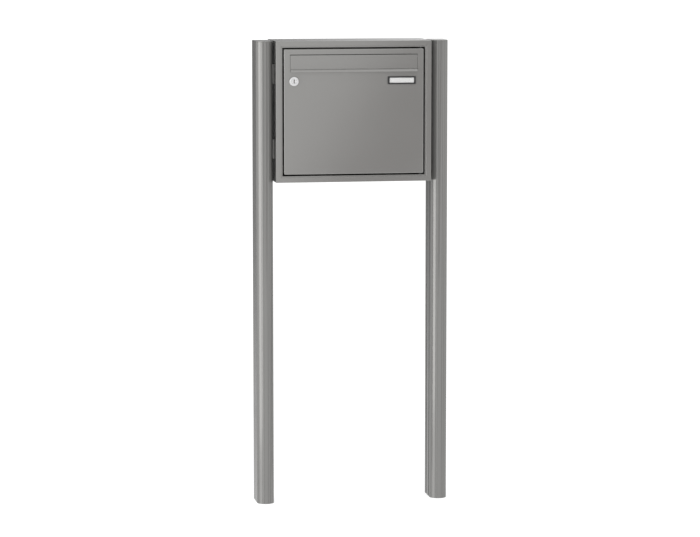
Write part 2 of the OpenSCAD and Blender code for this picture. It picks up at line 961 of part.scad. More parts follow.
module lock_plug() {
  color(bright)
    about_lock()
      difference() {
        union() {
          translate([0, 0, seat - rose_t])
            cylinder(r = plug_r, h = plug_end + rose_t - seat);
          translate([-tail_w / 2, -tail_w / 2, plug_end - past])
            cube([tail_w, tail_w, tail_len + past]);
        }
        translate([-slot_w / 2, -slot_h / 2, -rose_t - past])
          cube([slot_w, slot_h, rose_t + plug_end / 2]);
        translate([0, 0, plug_end + tail_len - cam_screw_len])
          cylinder(r = cam_screw_r + run, h = cam_screw_len + past);
      }
}

module lock_cam() {
  color(steel)
    about_lock()
      translate([0, 0, plug_end])
        linear_extrude(cam_t)
          difference() {
            union() {
              circle(cam_hub_r);
              span([-cam_w / 2, cam_w / 2], [0, cam_reach - cam_w / 2]);
              translate([0, cam_reach - cam_w / 2])
                circle(cam_w / 2);
            }
            square(tail_w + 2 * run, center = true);
          }
}

module cam_screw() {
  color(steel)
    about_lock() {
      translate([0, 0, plug_end + tail_len - cam_screw_len + past])
        cylinder(r = cam_screw_r, h = cam_screw_len);
      translate([0, 0, plug_end + cam_t])
        cylinder(r = cam_screw_head_r, h = cam_screw_head_t);
    }
}

// Letter flap: a flat plate with a rolled hinge edge behind it and a grip lip along its foot

module flap() {
  color(paint)
    difference() {
      along_x([-flap_x, flap_x]) {
        polygon([
          [0, crease_z + flap_t], [-lip_out, crease_z - lip_h + flap_t],
          [-lip_out, crease_z - lip_h + flap_t / 2], [flap_t - lip_out, crease_z - lip_h + flap_t / 2],
          [flap_t, crease_z + flap_t / 2], [flap_t, flap_top], [0, flap_top]
        ]);
        translate([axis_d, axis_z])
          circle(knuckle_r);
        span([flap_t / 2, axis_d], [axis_z - knuckle_r / 2, axis_z + knuckle_r / 2]);
      }
      for (side = [-1, 1])
        sided(side)
          rod_x([flap_x - flap_bush_len, flap_x + past], axis_d, axis_z, flap_bush_r + run);
    }
}

module flap_bush(side) {
  color(nylon)
    sided(side)
      difference() {
        rod_x([flap_x - flap_bush_len, flap_x], axis_d, axis_z, flap_bush_r);
        rod_x([flap_x - flap_bush_len - past, flap_x + past], axis_d, axis_z, flap_pin_r + run);
      }
}

post(-1);  // left_post
post(1);  // right_post
post_cap(-1);  // left_post_cap
post_cap(1);  // right_post_cap
foot_insert(-1);  // left_foot_insert
foot_insert(1);  // right_foot_insert
foot_screws();
spacer(-1, spacers_z[0]);  // spacer_upper_left
spacer(-1, spacers_z[1]);  // spacer_lower_left
spacer(1, spacers_z[0]);  // spacer_upper_right
spacer(1, spacers_z[1]);  // spacer_lower_right
channel_nuts();
mounting_bolts();
bolt_washers();
wrap_panel(top_z, true);  // top_panel
wrap_panel(bottom_z, false);  // bottom_panel
side_panel(-1);  // left_panel
side_panel(1);  // right_panel
back_panel();
casing_rivets();
level_rail(true);  // top_rail
level_rail(false);  // bottom_rail
upright_rail(-1);  // left_rail
upright_rail(1);  // right_rail
corner_keys();
frame_rivets();
strike_plate();
door_stops();
stop_buffers();
hinge_pin(true);  // hinge_pin_upper
hinge_pin(false);  // hinge_pin_lower
door_panel();
door_stiffener();
hinge_bush(true);  // hinge_bush_upper
hinge_bush(false);  // hinge_bush_lower
throat_top();
throat_bottom();
throat_cheek(-1);  // throat_cheek_left
throat_cheek(1);  // throat_cheek_right
throat_nuts();
flap_pin(-1);  // flap_pin_left
flap_pin(1);  // flap_pin_right
flap_buffers();
nameplate_frame();
name_card();
card_window();
lock_body();
lock_nut();
lock_plug();
lock_cam();
cam_screw();
flap();
flap_bush(-1);  // flap_bush_left
flap_bush(1);  // flap_bush_right
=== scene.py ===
# %% [markdown]
# # A letterbox between two posts
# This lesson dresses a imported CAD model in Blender. The model is a free-standing letterbox: a flat
# sheet-metal box with a hinged door, carried between two tall posts with round noses. The CAD model
# already holds every size and joint, so nothing here is moved or fitted. Each cell makes one thing:
# a view, a light, a finish, or a piece with softer edges than the CAD solid it stands for.

# %% Load the frame
import json
from math import cos, pi, radians, sin

import bmesh
import bpy
import numpy as np
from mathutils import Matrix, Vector
from mathutils.geometry import tessellate_polygon

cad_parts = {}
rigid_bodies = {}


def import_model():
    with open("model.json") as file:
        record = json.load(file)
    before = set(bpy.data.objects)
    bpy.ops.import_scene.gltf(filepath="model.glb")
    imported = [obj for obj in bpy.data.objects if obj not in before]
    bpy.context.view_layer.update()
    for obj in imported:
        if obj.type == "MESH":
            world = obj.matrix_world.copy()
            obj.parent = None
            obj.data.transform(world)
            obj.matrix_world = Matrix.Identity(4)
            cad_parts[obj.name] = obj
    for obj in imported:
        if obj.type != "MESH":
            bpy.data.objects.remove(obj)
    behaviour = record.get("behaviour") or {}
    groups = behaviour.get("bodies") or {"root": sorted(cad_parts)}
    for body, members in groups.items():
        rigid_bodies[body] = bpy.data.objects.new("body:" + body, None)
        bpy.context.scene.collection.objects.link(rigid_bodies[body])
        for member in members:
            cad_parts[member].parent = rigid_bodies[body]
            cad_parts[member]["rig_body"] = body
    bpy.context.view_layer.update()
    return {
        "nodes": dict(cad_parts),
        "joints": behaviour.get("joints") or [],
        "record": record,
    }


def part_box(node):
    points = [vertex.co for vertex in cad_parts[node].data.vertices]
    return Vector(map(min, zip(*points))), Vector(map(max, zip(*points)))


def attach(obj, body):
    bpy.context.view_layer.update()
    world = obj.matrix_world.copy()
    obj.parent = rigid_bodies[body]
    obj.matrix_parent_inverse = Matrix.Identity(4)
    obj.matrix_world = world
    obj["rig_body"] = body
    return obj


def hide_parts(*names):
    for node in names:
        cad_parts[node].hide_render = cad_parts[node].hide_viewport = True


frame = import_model()
scene = bpy.context.scene

# %% [markdown]
# ## Where things are
# Blender works in metres and the workshop works in millimetres, so small sizes are written as a number
# times MM. Places come from the frame: the box round a CAD node says where its piece belongs, and the
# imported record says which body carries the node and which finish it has.

# %% Places taken from the frame
MM = 0.001
slot_of = {row["node"]: row["material_slot"] for row in frame["record"]["subparts"]}
joint_at = {row["name"]: np.array(row["pos_m"]) for row in frame["joints"]}


def reach(node):
    """The lowest and the highest corner of a CAD node, as arrays."""
    low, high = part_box(node)
    return np.array(low), np.array(high)


front_y = reach("top_rail")[0][1]
side_x, back_y, top_z = reach("top_panel")[1]
bottom_z = reach("bottom_panel")[0][2]
print(f"casing {2 * side_x:.3f} wide, {top_z - bottom_z:.3f} high, {back_y - front_y:.3f} deep")

# %% [markdown]
# ## The camera
# The letterbox is seen from a little to its left and from just above its top, with a long lens, so
# that the posts stay upright and nearly parallel. The camera is given as a place, a bearing and a
# downward tilt. The picture is 700 pixels wide, and the lens is set so that the posts fill its height.

# %% Camera
EYE = (-1.2634, -7.3934, 1.516)
BEARING = radians(9.706)
TILT = radians(6.925)
PICTURE_WIDTH = 700
FOCAL_PIXELS = 2899.4
SENSOR_WIDTH = 36
FAR_SIGHT = 200

camera = bpy.data.objects.new("camera", bpy.data.cameras.new("camera"))
scene.collection.objects.link(camera)
camera.location = EYE
looking = Vector((sin(BEARING) * cos(TILT), cos(BEARING) * cos(TILT), -sin(TILT)))
camera.rotation_euler = looking.to_track_quat("-Z", "Y").to_euler()
camera.data.sensor_width = SENSOR_WIDTH
camera.data.lens = FOCAL_PIXELS * SENSOR_WIDTH / PICTURE_WIDTH
camera.data.clip_end = FAR_SIGHT
scene.camera = camera
print(f"lens {camera.data.lens:.1f} mm")

# %% [markdown]
# ## Studio light
# A white sky lights everything softly. One tall strip light on the left draws the bright line along
# each round post, and a broad light overhead brightens everything that faces up. A fill light near the
# camera reaches into the gaps; it is kept out of mirror images, where it would show as a spot. In
# Blender such a light is an area light, and its power is worked out here from the brightness that its
# face should have: brightness times area times pi. The lights are hidden from the camera, as in a
# studio where they stand outside the picture. The colours are kept plain with the Standard view, so
# that a white card stays white.

# %% Sky and softboxes
WHITE = (1, 1, 1, 1)
SKY_BRIGHTNESS = 1.04
STRIP_BRIGHTNESS = 1.71
STRIP_X = -1.05

scene.view_settings.view_transform = "Standard"
scene.world = bpy.data.worlds.new("sky")
scene.world.use_nodes = True
sky = scene.world.node_tree.nodes["Background"].inputs
sky["Color"].default_value = WHITE
sky["Strength"].default_value = SKY_BRIGHTNESS


def softbox(name, place, aim, width, height, brightness):
    """A rectangular light at place that faces aim; its power is brightness x area x pi."""
    light = bpy.data.lights.new(name, "AREA")
    light.shape = "RECTANGLE"
    light.size = width
    light.size_y = height
    light.energy = brightness * width * height * pi
    holder = bpy.data.objects.new(name, light)
    holder.location = place
    holder.rotation_euler = (Vector(aim) - Vector(place)).to_track_quat("-Z", "Y").to_euler()
    holder.visible_camera = False
    scene.collection.objects.link(holder)
    print(f"{name}: {light.energy:.1f} W")
    return holder


softbox("strip_light", place=(STRIP_X, -0.56, 0.75), aim=(0, -0.47, 0.75),
        width=1.0, height=1.5, brightness=STRIP_BRIGHTNESS)
softbox("overhead_light", place=(0.1, -0.5, 3.0), aim=(0, 0, 1),
        width=2.4, height=1.6, brightness=0.36)
fill_light = softbox("fill_light", place=(-0.9, -5.2, 1.35), aim=(0, 0, 1),
                     width=1.6, height=1.6, brightness=5.6)
fill_light.visible_glossy = False

# %% [markdown]
# ## Floor and cards
# The ground is to come out pure white with no shadow on it, so the floor will glow by itself, and it
# isn't mirrored in the paint. The cards work as in a photographer's studio: satin paint mirrors them
# softly. A leaning card in front gives the flat door a darker band, while the round posts squeeze its
# image until it vanishes. A pale card near the camera takes the glare off the faces that look at it. A
# card behind the letterbox is what the box top and the sides of the posts mirror. The last card glows
# and carries the strip light's image on below floor level, so that the bright line reaches the feet.
# All the cards act in reflections only: no camera sees them, and they cast no shadow.

# %% Floor and cards
FLOOR_HALF = 70
FLOOR_CORNERS = np.array([[-1, -1, 0], [1, -1, 0], [1, 1, 0], [-1, 1, 0]]) * FLOOR_HALF
CARDS = {
    "door_card": [(-0.04, -1.57, 0.4), (0.3, -1.57, 0.4), (1.2, -1.57, 1.5), (0.6, -1.57, 1.5)],
    "flag_card": [(-2.75, -6.5, 0.1), (-0.4, -6.5, 0.1), (-0.4, -6.5, 2.2), (-2.75, -6.5, 2.2)],
    "faded_card": [(-1.5, 1.5, -0.6), (0.5, 1.5, -0.6), (0.5, 1.5, 2.2), (-1.5, 1.5, 2.2)],
    "strip_foot": [
        (STRIP_X, -1.06, -0.6), (STRIP_X, -0.06, -0.6), (STRIP_X, -0.06, 0), (STRIP_X, -1.06, 0),
    ],
}


def stage_sheet(name, corners):
    """A flat four-cornered sheet that belongs to the studio and not to the letterbox."""
    mesh = bpy.data.meshes.new(name)
    mesh.from_pydata(corners, [], [[0, 1, 2, 3]])
    sheet = bpy.data.objects.new(name, mesh)
    scene.collection.objects.link(sheet)
    return sheet


stage = {"floor": stage_sheet("floor", FLOOR_CORNERS.tolist())}
stage["floor"].visible_glossy = False
for name, corners in CARDS.items():
    card = stage[name] = stage_sheet(name, corners)
    card.visible_camera = card.visible_diffuse = card.visible_shadow = False
print("studio sheets:", ", ".join(stage))

# %% [markdown]
# ## Small helpers for shader nodes
# A material is a little graph. These helpers only save typing: one adds a node and sets its inputs,
# others add up values or call up a texture. A node group is built once and then placed in several
# materials, each with its own numbers. All the groups here put out the same three things: a colour, a
# roughness and a height for fine relief.

# %% Nodes and sums
def add_node(tree, kind, links=None, **settings):
    """Adds a node. settings are node properties; links maps an input to a value or to an output."""
    made = tree.nodes.new(kind)
    for key, value in settings.items():
        setattr(made, key, value)
    for key, value in (links or {}).items():
        if isinstance(value, bpy.types.NodeSocket):
            tree.links.new(value, made.inputs[key])
        else:
            made.inputs[key].default_value = value
    return made


def arithmetic(tree, operation, first, second):
    """The result of one Math node; first and second are numbers or outputs."""
    return add_node(tree, "ShaderNodeMath", {0: first, 1: second}, operation=operation).outputs[0]


def centred(tree, value, amount):
    """(value - 0.5) x amount, so a texture swings evenly about nought."""
    return arithmetic(tree, "MULTIPLY", arithmetic(tree, "SUBTRACT", value, 0.5), amount)


def total(tree, *values):
    """The sum of several values, as a chain of Add nodes."""
    result = values[0]
    for value in values[1:]:
        result = arithmetic(tree, "ADD", result, value)
    return result


print("for sums: arithmetic, centred, total")

# %% Textures
def object_place(tree):
    """The place of a surface point in the object's own coordinates, in metres."""
    return add_node(tree, "ShaderNodeTexCoord").outputs["Object"]


def cloudy(tree, spot, scale, detail):
    """A soft cloud texture about 0.5 over the places in spot."""
    clouds = add_node(tree, "ShaderNodeTexNoise", {"Vector": spot, "Scale": scale, "Detail": detail})
    return clouds.outputs["Fac"]


def speckled(tree, spot, scale):
    """One random value in each small cell of a pattern: the red share of the cell's random colour."""
    cells = add_node(tree, "ShaderNodeTexVoronoi", {"Vector": spot, "Scale": scale})
    return add_node(tree, "ShaderNodeSeparateColor", {0: cells.outputs["Color"]}).outputs[0]


print("for textures: object_place, cloudy, speckled")

# %% Node groups
LAYER = {"Color": "NodeSocketColor", "Roughness": "NodeSocketFloat", "Height": "NodeSocketFloat"}


def new_group(name, inputs):
    """A shader node group that puts out a LAYER: inputs maps names to numbers or colours."""
    tree = bpy.data.node_groups.new(name, "ShaderNodeTree")
    for key, value in inputs.items():
        kind = "NodeSocketColor" if isinstance(value, tuple) else "NodeSocketFloat"
        tree.interface.new_socket(key, in_out="INPUT", socket_type=kind).default_value = value
    for key, kind in LAYER.items():
        tree.interface.new_socket(key, in_out="OUTPUT", socket_type=kind)
    return tree, tree.nodes.new("NodeGroupInput").outputs


def put_out(tree, source, swing, shine, height):
    """Ends a group: Color = Tone x (1 + swing), Roughness = shine + Gloss, and Height as given."""
    sink = tree.nodes.new("NodeGroupOutput").inputs
    lift = total(tree, swing, 1.0)
    toned = add_node(tree, "ShaderNodeVectorMath", {0: source["Tone"], "Scale": lift}, operation="SCALE")
    tree.links.new(toned.outputs[0], sink["Color"])
    tree.links.new(total(tree, shine, source["Gloss"]), sink["Roughness"])
    tree.links.new(height, sink["Height"])


print("a group puts out:", ", ".join(LAYER))

# %% Materials
def new_material(name):
    """An empty material with its Principled shader already joined to the output."""
    material = bpy.data.materials.new(name)
    material.use_nodes = True
    return material, material.node_tree, material.node_tree.nodes["Principled BSDF"]


def bump(tree, shader, height, depth):
    """Joins a height to the shader's Normal through a Bump node; depth is the relief in metres."""
    relief = add_node(tree, "ShaderNodeBump", {"Strength": 1.0, "Distance": depth, "Height": height})
    tree.links.new(relief.outputs["Normal"], shader.inputs["Normal"])


def layered(name, group, relief=None, metallic=0.0, **values):
    """A material with colour and roughness from a group, and its height too where relief is given.

    values are the group's own inputs; an underscore in a name stands for a space.
    """
    material, tree, shader = new_material(name)
    layer = add_node(tree, "ShaderNodeGroup", node_tree=group)
    for key, value in values.items():
        layer.inputs[key.replace("_", " ").capitalize()].default_value = value
    tree.links.new(layer.outputs["Color"], shader.inputs["Base Color"])
    tree.links.new(layer.outputs["Roughness"], shader.inputs["Roughness"])
    shader.inputs["Metallic"].default_value = metallic
    if relief:
        bump(tree, shader, layer.outputs["Height"], relief)
    return material, tree, shader, layer


print("for materials: new_material, bump, layered")

# %% [markdown]
# ## Satin powder coat
# The whole letterbox is sprayed with one grey powder coat and baked. Close up such a coat is not flat:
# it has a fine orange-peel ripple, tiny brighter grains, and slow drifts in tone across a panel. On
# the rounded edges the colour is lifted a shade lighter, a painted highlight for edges that catch the
# light. The pieces below carry an attribute named edge, which is 1 on their rounded edges, and the
# group reads it for this painted highlight. The sheets and the extruded posts use the same group: the
# posts have a finer, drawn-out ripple along their length, and a darker tone that is painted shade.

# %% Powder coat group
GRAIN_SCALE, DRIFT_SCALE = 1900.0, 5.0
# how much lighter the rounded edges are painted: a painted highlight
PAINTED_EDGE_HIGHLIGHT = 0.07
RIPPLE_SHINE, DRIFT_SHINE = 0.05, 0.04

coat, coat_in = new_group("powder coat", {
    "Tone": (0.29, 0.287, 0.279, 1.0), "Drift": 0.06, "Grain": 0.05, "Gloss": 0.21,
    "Ripple scale": 420.0, "Draw": 1.0,
})
spot = object_place(coat)
stretch = add_node(coat, "ShaderNodeCombineXYZ", {"X": 1.0, "Y": 1.0, "Z": coat_in["Draw"]}).outputs[0]
drawn = add_node(coat, "ShaderNodeVectorMath", {0: spot, 1: stretch}, operation="MULTIPLY").outputs[0]
ripple = cloudy(coat, drawn, coat_in["Ripple scale"], detail=3.0)
drift = cloudy(coat, spot, DRIFT_SCALE, detail=2.0)
edge = add_node(coat, "ShaderNodeAttribute", attribute_name="edge").outputs["Fac"]
swing = total(
    coat,
    centred(coat, drift, coat_in["Drift"]),
    centred(coat, speckled(coat, spot, GRAIN_SCALE), coat_in["Grain"]),
    # painted highlight: the rounded edges get a lighter colour
    arithmetic(coat, "MULTIPLY", edge, PAINTED_EDGE_HIGHLIGHT),
)
shine = total(coat, centred(coat, ripple, RIPPLE_SHINE), centred(coat, drift, DRIFT_SHINE))
put_out(coat, coat_in, swing, shine, ripple)
print(coat.name, "nodes:", len(coat.nodes))

# %% Powder-coated sheet, extrusion and post
COAT_TONE = (0.258, 0.255, 0.248, 1.0)
# the posts carry the sheets' coat painted darker: painted shade for the darker look the light gives the
# round posts
POST_SHADED_TONE = (0.222, 0.22, 0.214, 1.0)
COAT_METAL = 0.55
COAT_RIM = 0.4
finish = {}


def powder_coat(name, relief, **values):
    """A part-metallic coat with a dimmed rim; relief is the height of the orange peel in metres."""
    material, _, shader, _ = layered(name, coat, relief, metallic=COAT_METAL, **values)
    shader.inputs["Specular Tint"].default_value = (COAT_RIM, COAT_RIM, COAT_RIM, 1)
    print("made", name)
    return material


finish["sheet_paint"] = powder_coat(
    "grey coat on sheet", relief=0.045 * MM, tone=COAT_TONE, ripple_scale=420.0)
finish["alloy_paint"] = powder_coat(
    "grey coat on extrusion", relief=0.035 * MM, tone=COAT_TONE, ripple_scale=520.0)
# the posts' coat, with painted shade in its darker tone
shaded_post_coat = powder_coat(
    "grey coat on post", relief=0.03 * MM, tone=POST_SHADED_TONE, gloss=0.18, ripple_scale=520.0, draw=0.15)

# %% [markdown]
# ## Bare metals
# Screws, rivets and inner fittings are zinc plated: a dull silver with soft cloudy spangles. The hinge
# pins are blackened. The lock is turned brass with a satin nickel coat, so its face carries very fine
# circles left by the lathe. All are full metals, and their interest is in how roughness and tone vary.

# %% Metal group
CLOUD_SCALE = 60.0
plating, plating_in = new_group("clouded metal", {
    "Tone": (0.6, 0.6, 0.6, 1.0), "Cell size": 300.0, "Variation": 0.2, "Gloss": 0.35,
})
spot = object_place(plating)
cloud = cloudy(plating, spot, CLOUD_SCALE, detail=4.0)
swing = total(
    plating,
    centred(plating, speckled(plating, spot, plating_in["Cell size"]), plating_in["Variation"]),
    centred(plating, cloud, plating_in["Variation"]),
)
put_out(plating, plating_in, swing, swing, cloud)
print(plating.name, "nodes:", len(plating.nodes))

# %% Zinc, blackened steel and nickel
FULL_METAL = 1.0
LATHE_SCALE, LATHE_WOBBLE, LATHE_RELIEF = 900.0, 0.4, 0.004 * MM
lock_at = joint_at["lock_turn"]

finish["zinc_steel"] = layered(
    "zinc plate", plating, relief=0.02 * MM, metallic=FULL_METAL,
    tone=(0.46, 0.465, 0.47, 1.0), cell_size=340.0, variation=0.16, gloss=0.36)[0]
finish["black_steel"] = layered(
    "blackened steel", plating, relief=0.01 * MM, metallic=FULL_METAL,
    tone=(0.05, 0.05, 0.052, 1.0), cell_size=900.0, variation=0.2, gloss=0.42)[0]
finish["lock_chrome"], tree, shader, _ = layered(
    "satin nickel", plating, metallic=FULL_METAL,
    tone=(0.74, 0.74, 0.745, 1.0), cell_size=2600.0, variation=0.06, gloss=0.24)
spot = add_node(tree, "ShaderNodeMapping", {"Vector": object_place(tree), "Location": tuple(-lock_at)})
turned = add_node(
    tree, "ShaderNodeTexWave",
    {"Vector": spot.outputs[0], "Scale": LATHE_SCALE, "Distortion": LATHE_WOBBLE},
    wave_type="RINGS", rings_direction="Y")
bump(tree, shader, turned.outputs["Fac"], LATHE_RELIEF)
print("finishes so far:", ", ".join(finish))

# %% [markdown]
# ## Plastics, rubber, card and window
# The nameplate's frame is moulded dark plastic with a fine spark-eroded grain. The hinge bushes are
# dark grey nylon. Buffers are matt rubber with a dusty bloom. The nameplate's card is plain white board
# with paper fibres, and the window over it is clear acrylic with a faint haze, which here is a low
# alpha that varies a little.

# %% Moulded group
MOTTLE_SCALE = 40.0
moulded, moulded_in = new_group("moulded grain", {
    "Tone": (0.03, 0.03, 0.03, 1.0), "Grain size": 1500.0, "Mottle": 0.15, "Gloss": 0.5,
})
spot = object_place(moulded)
grain = cloudy(moulded, spot, moulded_in["Grain size"], detail=2.0)
swing = total(
    moulded,
    centred(moulded, grain, moulded_in["Mottle"]),
    centred(moulded, cloudy(moulded, spot, MOTTLE_SCALE, detail=3.0), moulded_in["Mottle"]),
)
put_out(moulded, moulded_in, swing, swing, grain)
print(moulded.name, "nodes:", len(moulded.nodes))

# %% Plastic, nylon, rubber, white card and acrylic
HAZE, HAZE_SWING = 0.1, 0.04

finish["dark_plastic"] = layered(
    "dark moulded plastic", moulded, relief=0.02 * MM,
    tone=(0.014, 0.014, 0.0145, 1), mottle=0.16, gloss=0.55)[0]
finish["nylon"] = layered(
    "grey nylon", moulded, relief=0.01 * MM, tone=(0.045, 0.045, 0.045, 1), mottle=0.06, gloss=0.45)[0]
finish["rubber"] = layered(
    "matt rubber", moulded, relief=0.04 * MM, tone=(0.016, 0.016, 0.017, 1), mottle=0.3, gloss=0.72)[0]
finish["white_card"] = layered(
    "white card", moulded, relief=0.01 * MM,
    tone=(0.53, 0.525, 0.52, 1), grain_size=700.0, mottle=0.04, gloss=0.7)[0]
finish["clear_window"], tree, shader, layer = layered(
    "clear acrylic", moulded, tone=(0.9, 0.91, 0.91, 1), grain_size=300.0, mottle=0.02, gloss=0.06)
haze = total(tree, centred(tree, layer.outputs["Height"], HAZE_SWING), HAZE)
tree.links.new(haze, shader.inputs["Alpha"])
print("finishes:", ", ".join(finish))

# %% [markdown]
# ## Finishes of the floor and the cards
# The floor and the two plain cards are matt board, from the same group as the mouldings. A surface
# that glows has an emission, and leaving it out of the light sampling keeps it a mere backdrop. The
# card behind is dark in its middle and pale towards its rim, so that its mirror image has no hard edge:
# the tone follows the squared distance from the middle, with x and z stretched to an oval.

# %% Matt boards
BOARD = dict(grain_size=90.0, gloss=0.85)
BOARD_RELIEF = 0.05 * MM
FLOOR_GLOW = 0.78


def glow(material, shader, brightness):
    """Makes a surface shine white by itself, without being sampled as a light."""
    shader.inputs["Emission Color"].default_value = WHITE
    shader.inputs["Emission Strength"].default_value = brightness
    material.cycles.emission_sampling = "NONE"


board = {}
board["floor"], _, shader, _ = layered(
    "pale floor", moulded, relief=BOARD_RELIEF, tone=(0.3, 0.3, 0.3, 1), mottle=0.01, **BOARD)
glow(board["floor"], shader, FLOOR_GLOW)
board["flag_card"] = layered(
    "pale card", moulded, relief=BOARD_RELIEF, tone=(0.5, 0.5, 0.5, 1), mottle=0.02, **BOARD)[0]
board["door_card"] = layered(
    "grey card", moulded, relief=BOARD_RELIEF, tone=(0.24, 0.215, 0.21, 1), mottle=0.02, **BOARD)[0]
print("boards:", ", ".join(board))

# %% Faded card and glowing strip
BLACK = (0, 0, 0, 1)
FADE_MIDDLE, FADE_STRETCH = (-0.55, 1.5, 1.05), (0.8, 1, 0.65)
FADE_REACH, FADE_DARK, FADE_PALE = 0.76, 0.15, 0.95
FADE_ROUGHNESS = 0.85

board["faded_card"], tree, shader = new_material("faded card")
spot = object_place(tree)
for operation, by in (("SUBTRACT", FADE_MIDDLE), ("MULTIPLY", FADE_STRETCH)):
    spot = add_node(tree, "ShaderNodeVectorMath", {0: spot, 1: by}, operation=operation).outputs[0]
far = add_node(tree, "ShaderNodeVectorMath", {0: spot, 1: spot}, operation="DOT_PRODUCT").outputs["Value"]
faded = add_node(tree, "ShaderNodeMapRange", {
    "Value": far, "From Max": FADE_REACH, "To Min": FADE_DARK, "To Max": FADE_PALE,
})
tree.links.new(faded.outputs[0], shader.inputs["Base Color"])
shader.inputs["Roughness"].default_value = FADE_ROUGHNESS

board["strip_foot"], _, shader = new_material("glowing strip")
shader.inputs["Base Color"].default_value = BLACK
glow(board["strip_foot"], shader, STRIP_BRIGHTNESS)
for name, material in board.items():
    stage[name].data.materials.append(material)
print("studio finishes:", ", ".join(f"{name} in {material.name}" for name, material in board.items()))

# %% [markdown]
# ## Finishes on the CAD nodes
# Every CAD node takes the finish that the record names for it. Nodes that get a finer piece below are
# hidden later, and the rest stay as they are: nuts, bushes, pins and other inner fittings whose CAD
# shape is already right.

# %% Assign finishes
for node, cad_object in frame["nodes"].items():
    cad_object.data.materials.clear()
    cad_object.data.materials.append(finish[slot_of[node]])
print(len(frame["nodes"]), "CAD nodes have a finish")

# %% [markdown]
# ## Shapes from arrays
# Almost every piece here is a closed outline carried along a path. So a few functions do all the
# modelling, on whole numpy arrays: one rounds the corners of a polygon, one shrinks an outline, one
# stretches a skin over a stack of outlines, and one puts the result into a mesh. Rounded edges matter:
# a real edge always has a small radius, and that radius catches the light.

# %% Round corners
ARC_STEPS = 5


def fillet(corners, radii, steps=ARC_STEPS):
    """A polygon with round corners.

    The centre of each arc lies on the corner's bisector, at radius / sin(half angle) from the corner,
    and the arc runs in equal angles between the two points where it touches the edges.
    """
    corners = np.asarray(corners, float)
    radii = np.broadcast_to(np.asarray(radii, float), len(corners))[:, None]
    before = np.roll(corners, 1, 0) - corners
    after = np.roll(corners, -1, 0) - corners
    before /= np.linalg.norm(before, axis=1, keepdims=True)
    after /= np.linalg.norm(after, axis=1, keepdims=True)
    half = np.arccos(np.clip((before * after).sum(1, keepdims=True), -1, 1)) / 2
    bisector = before + after
    bisector /= np.linalg.norm(bisector, axis=1, keepdims=True)
    centres = corners + bisector * radii / np.sin(half)
    start = corners + before * radii / np.tan(half) - centres
    stop = corners + after * radii / np.tan(half) - centres
    from_angle = np.arctan2(start[:, 1], start[:, 0])[:, None]
    turn = np.arctan2(stop[:, 1], stop[:, 0])[:, None] - from_angle
    turn = (turn + pi) % (2 * pi) - pi
    angles = from_angle + turn * np.linspace(0, 1, steps + 1)
    arcs = centres[:, None] + radii[:, None] * np.stack([np.cos(angles), np.sin(angles)], -1)
    return arcs.reshape(-1, 2)


def rectangle(low, high, radius, steps=ARC_STEPS):
    """A rounded rectangle between two opposite corners, anticlockwise."""
    (a, b), (c, d) = low, high
    return fillet([(a, b), (c, b), (c, d), (a, d)], radius, steps)


print("a rounded rectangle has", len(rectangle((0, 0), (1, 1), 0.1)), "points")

# %% Smaller outlines
def shrink(outline, by):
    """An anticlockwise outline moved inwards.

    Each point slides along the sum of its two edge normals over 1 + their product, so that both of its
    edges move by the same distance.
    """
    along = np.roll(outline, -1, 0) - outline
    along /= np.linalg.norm(along, axis=1, keepdims=True)
    normal = np.stack([-along[:, 1], along[:, 0]], -1)
    previous = np.roll(normal, 1, 0)
    middle = (normal + previous) / (1 + (normal * previous).sum(1, keepdims=True))
    return outline + by * middle


smaller = shrink(rectangle((0, 0), (1, 1), 0.2), 0.1)
print("a unit square shrunk by 0.1 spans", np.ptp(smaller, 0).round(3))

# %% Skins
def skin(rings, closed=False):
    """Points and faces of a skin over rings, an array of rings x points x 3.

    Neighbouring rings are joined by four-sided faces. A closed skin joins its last ring to its first;
    an open one has its first and last rings filled.
    """
    count, size = rings.shape[:2]
    ring, point = np.meshgrid(np.arange(count if closed else count - 1), np.arange(size), indexing="ij")
    near, far, beside = ring * size, (ring + 1) % count * size, (point + 1) % size
    faces = np.stack([near + point, near + beside, far + beside, far + point], -1).reshape(-1, 4).tolist()
    if not closed:
        faces += [list(range(size))[::-1], list(range((count - 1) * size, count * size))]
    return rings.reshape(-1, 3), faces


print("a skin over 3 rings of 4 points has", len(skin(np.zeros((3, 4, 3)))[1]), "faces")

# %% Bars
TURNS = {"x": [2, 0, 1], "y": [1, 2, 0], "z": [0, 1, 2]}
EASE = 0.3 * MM


def carry(outline, axis, start, stop, ease=EASE, steps=2):
    """A bar: an outline carried straight along an axis, with eased ends.

    Near each end the outline follows a quarter circle of radius ease: at angle a it is shrunk by
    ease x (1 - sin a) and stands ease x (1 - cos a) inside the end. The outline's two coordinates
    are the two axes that follow the given one: y and z for x, z and x for y, x and y for z. A
    clockwise outline, whose area comes out negative, is turned round first.
    """
    along = np.roll(outline, -1, 0)
    if (outline[:, 0] * along[:, 1] - outline[:, 1] * along[:, 0]).sum() < 0:
        outline = outline[::-1]
    angle = np.linspace(0, pi / 2, steps + 1)
    inward, depth = ease * (1 - np.sin(angle)), ease * (1 - np.cos(angle))
    inward = np.concatenate([inward, inward[::-1]])
    place = np.concatenate([start + depth, stop - depth[::-1]])
    rings = np.stack([np.insert(shrink(outline, i), 2, p, axis=1) for i, p in zip(inward, place)])
    return skin(rings[:, :, TURNS[axis]])


print("a carried square has", len(carry(rectangle((0, 0), (1, 1), 0.1), "z", 0, 1)[1]), "faces")

# %% Blocks, groups of skins and mirror images
BLOCK_EDGE, BLOCK_STEPS = 0.4 * MM, 3
CORNER_TO_EASE = 1.2


def block(low, high, radius=BLOCK_EDGE, axis="y"):
    """A plate or block between two corners, with all its edges rounded.

    It is a rounded rectangle carried along one axis. Its corners are a little rounder than its ends
    are eased, so that the eased ends don't fold over.
    """
    low, high, along = np.asarray(low), np.asarray(high), "xyz".index(axis)
    across = [(along + 1) % 3, (along + 2) % 3]
    outline = rectangle(low[across], high[across], radius * CORNER_TO_EASE, BLOCK_STEPS)
    return carry(outline, axis, low[along], high[along], radius)


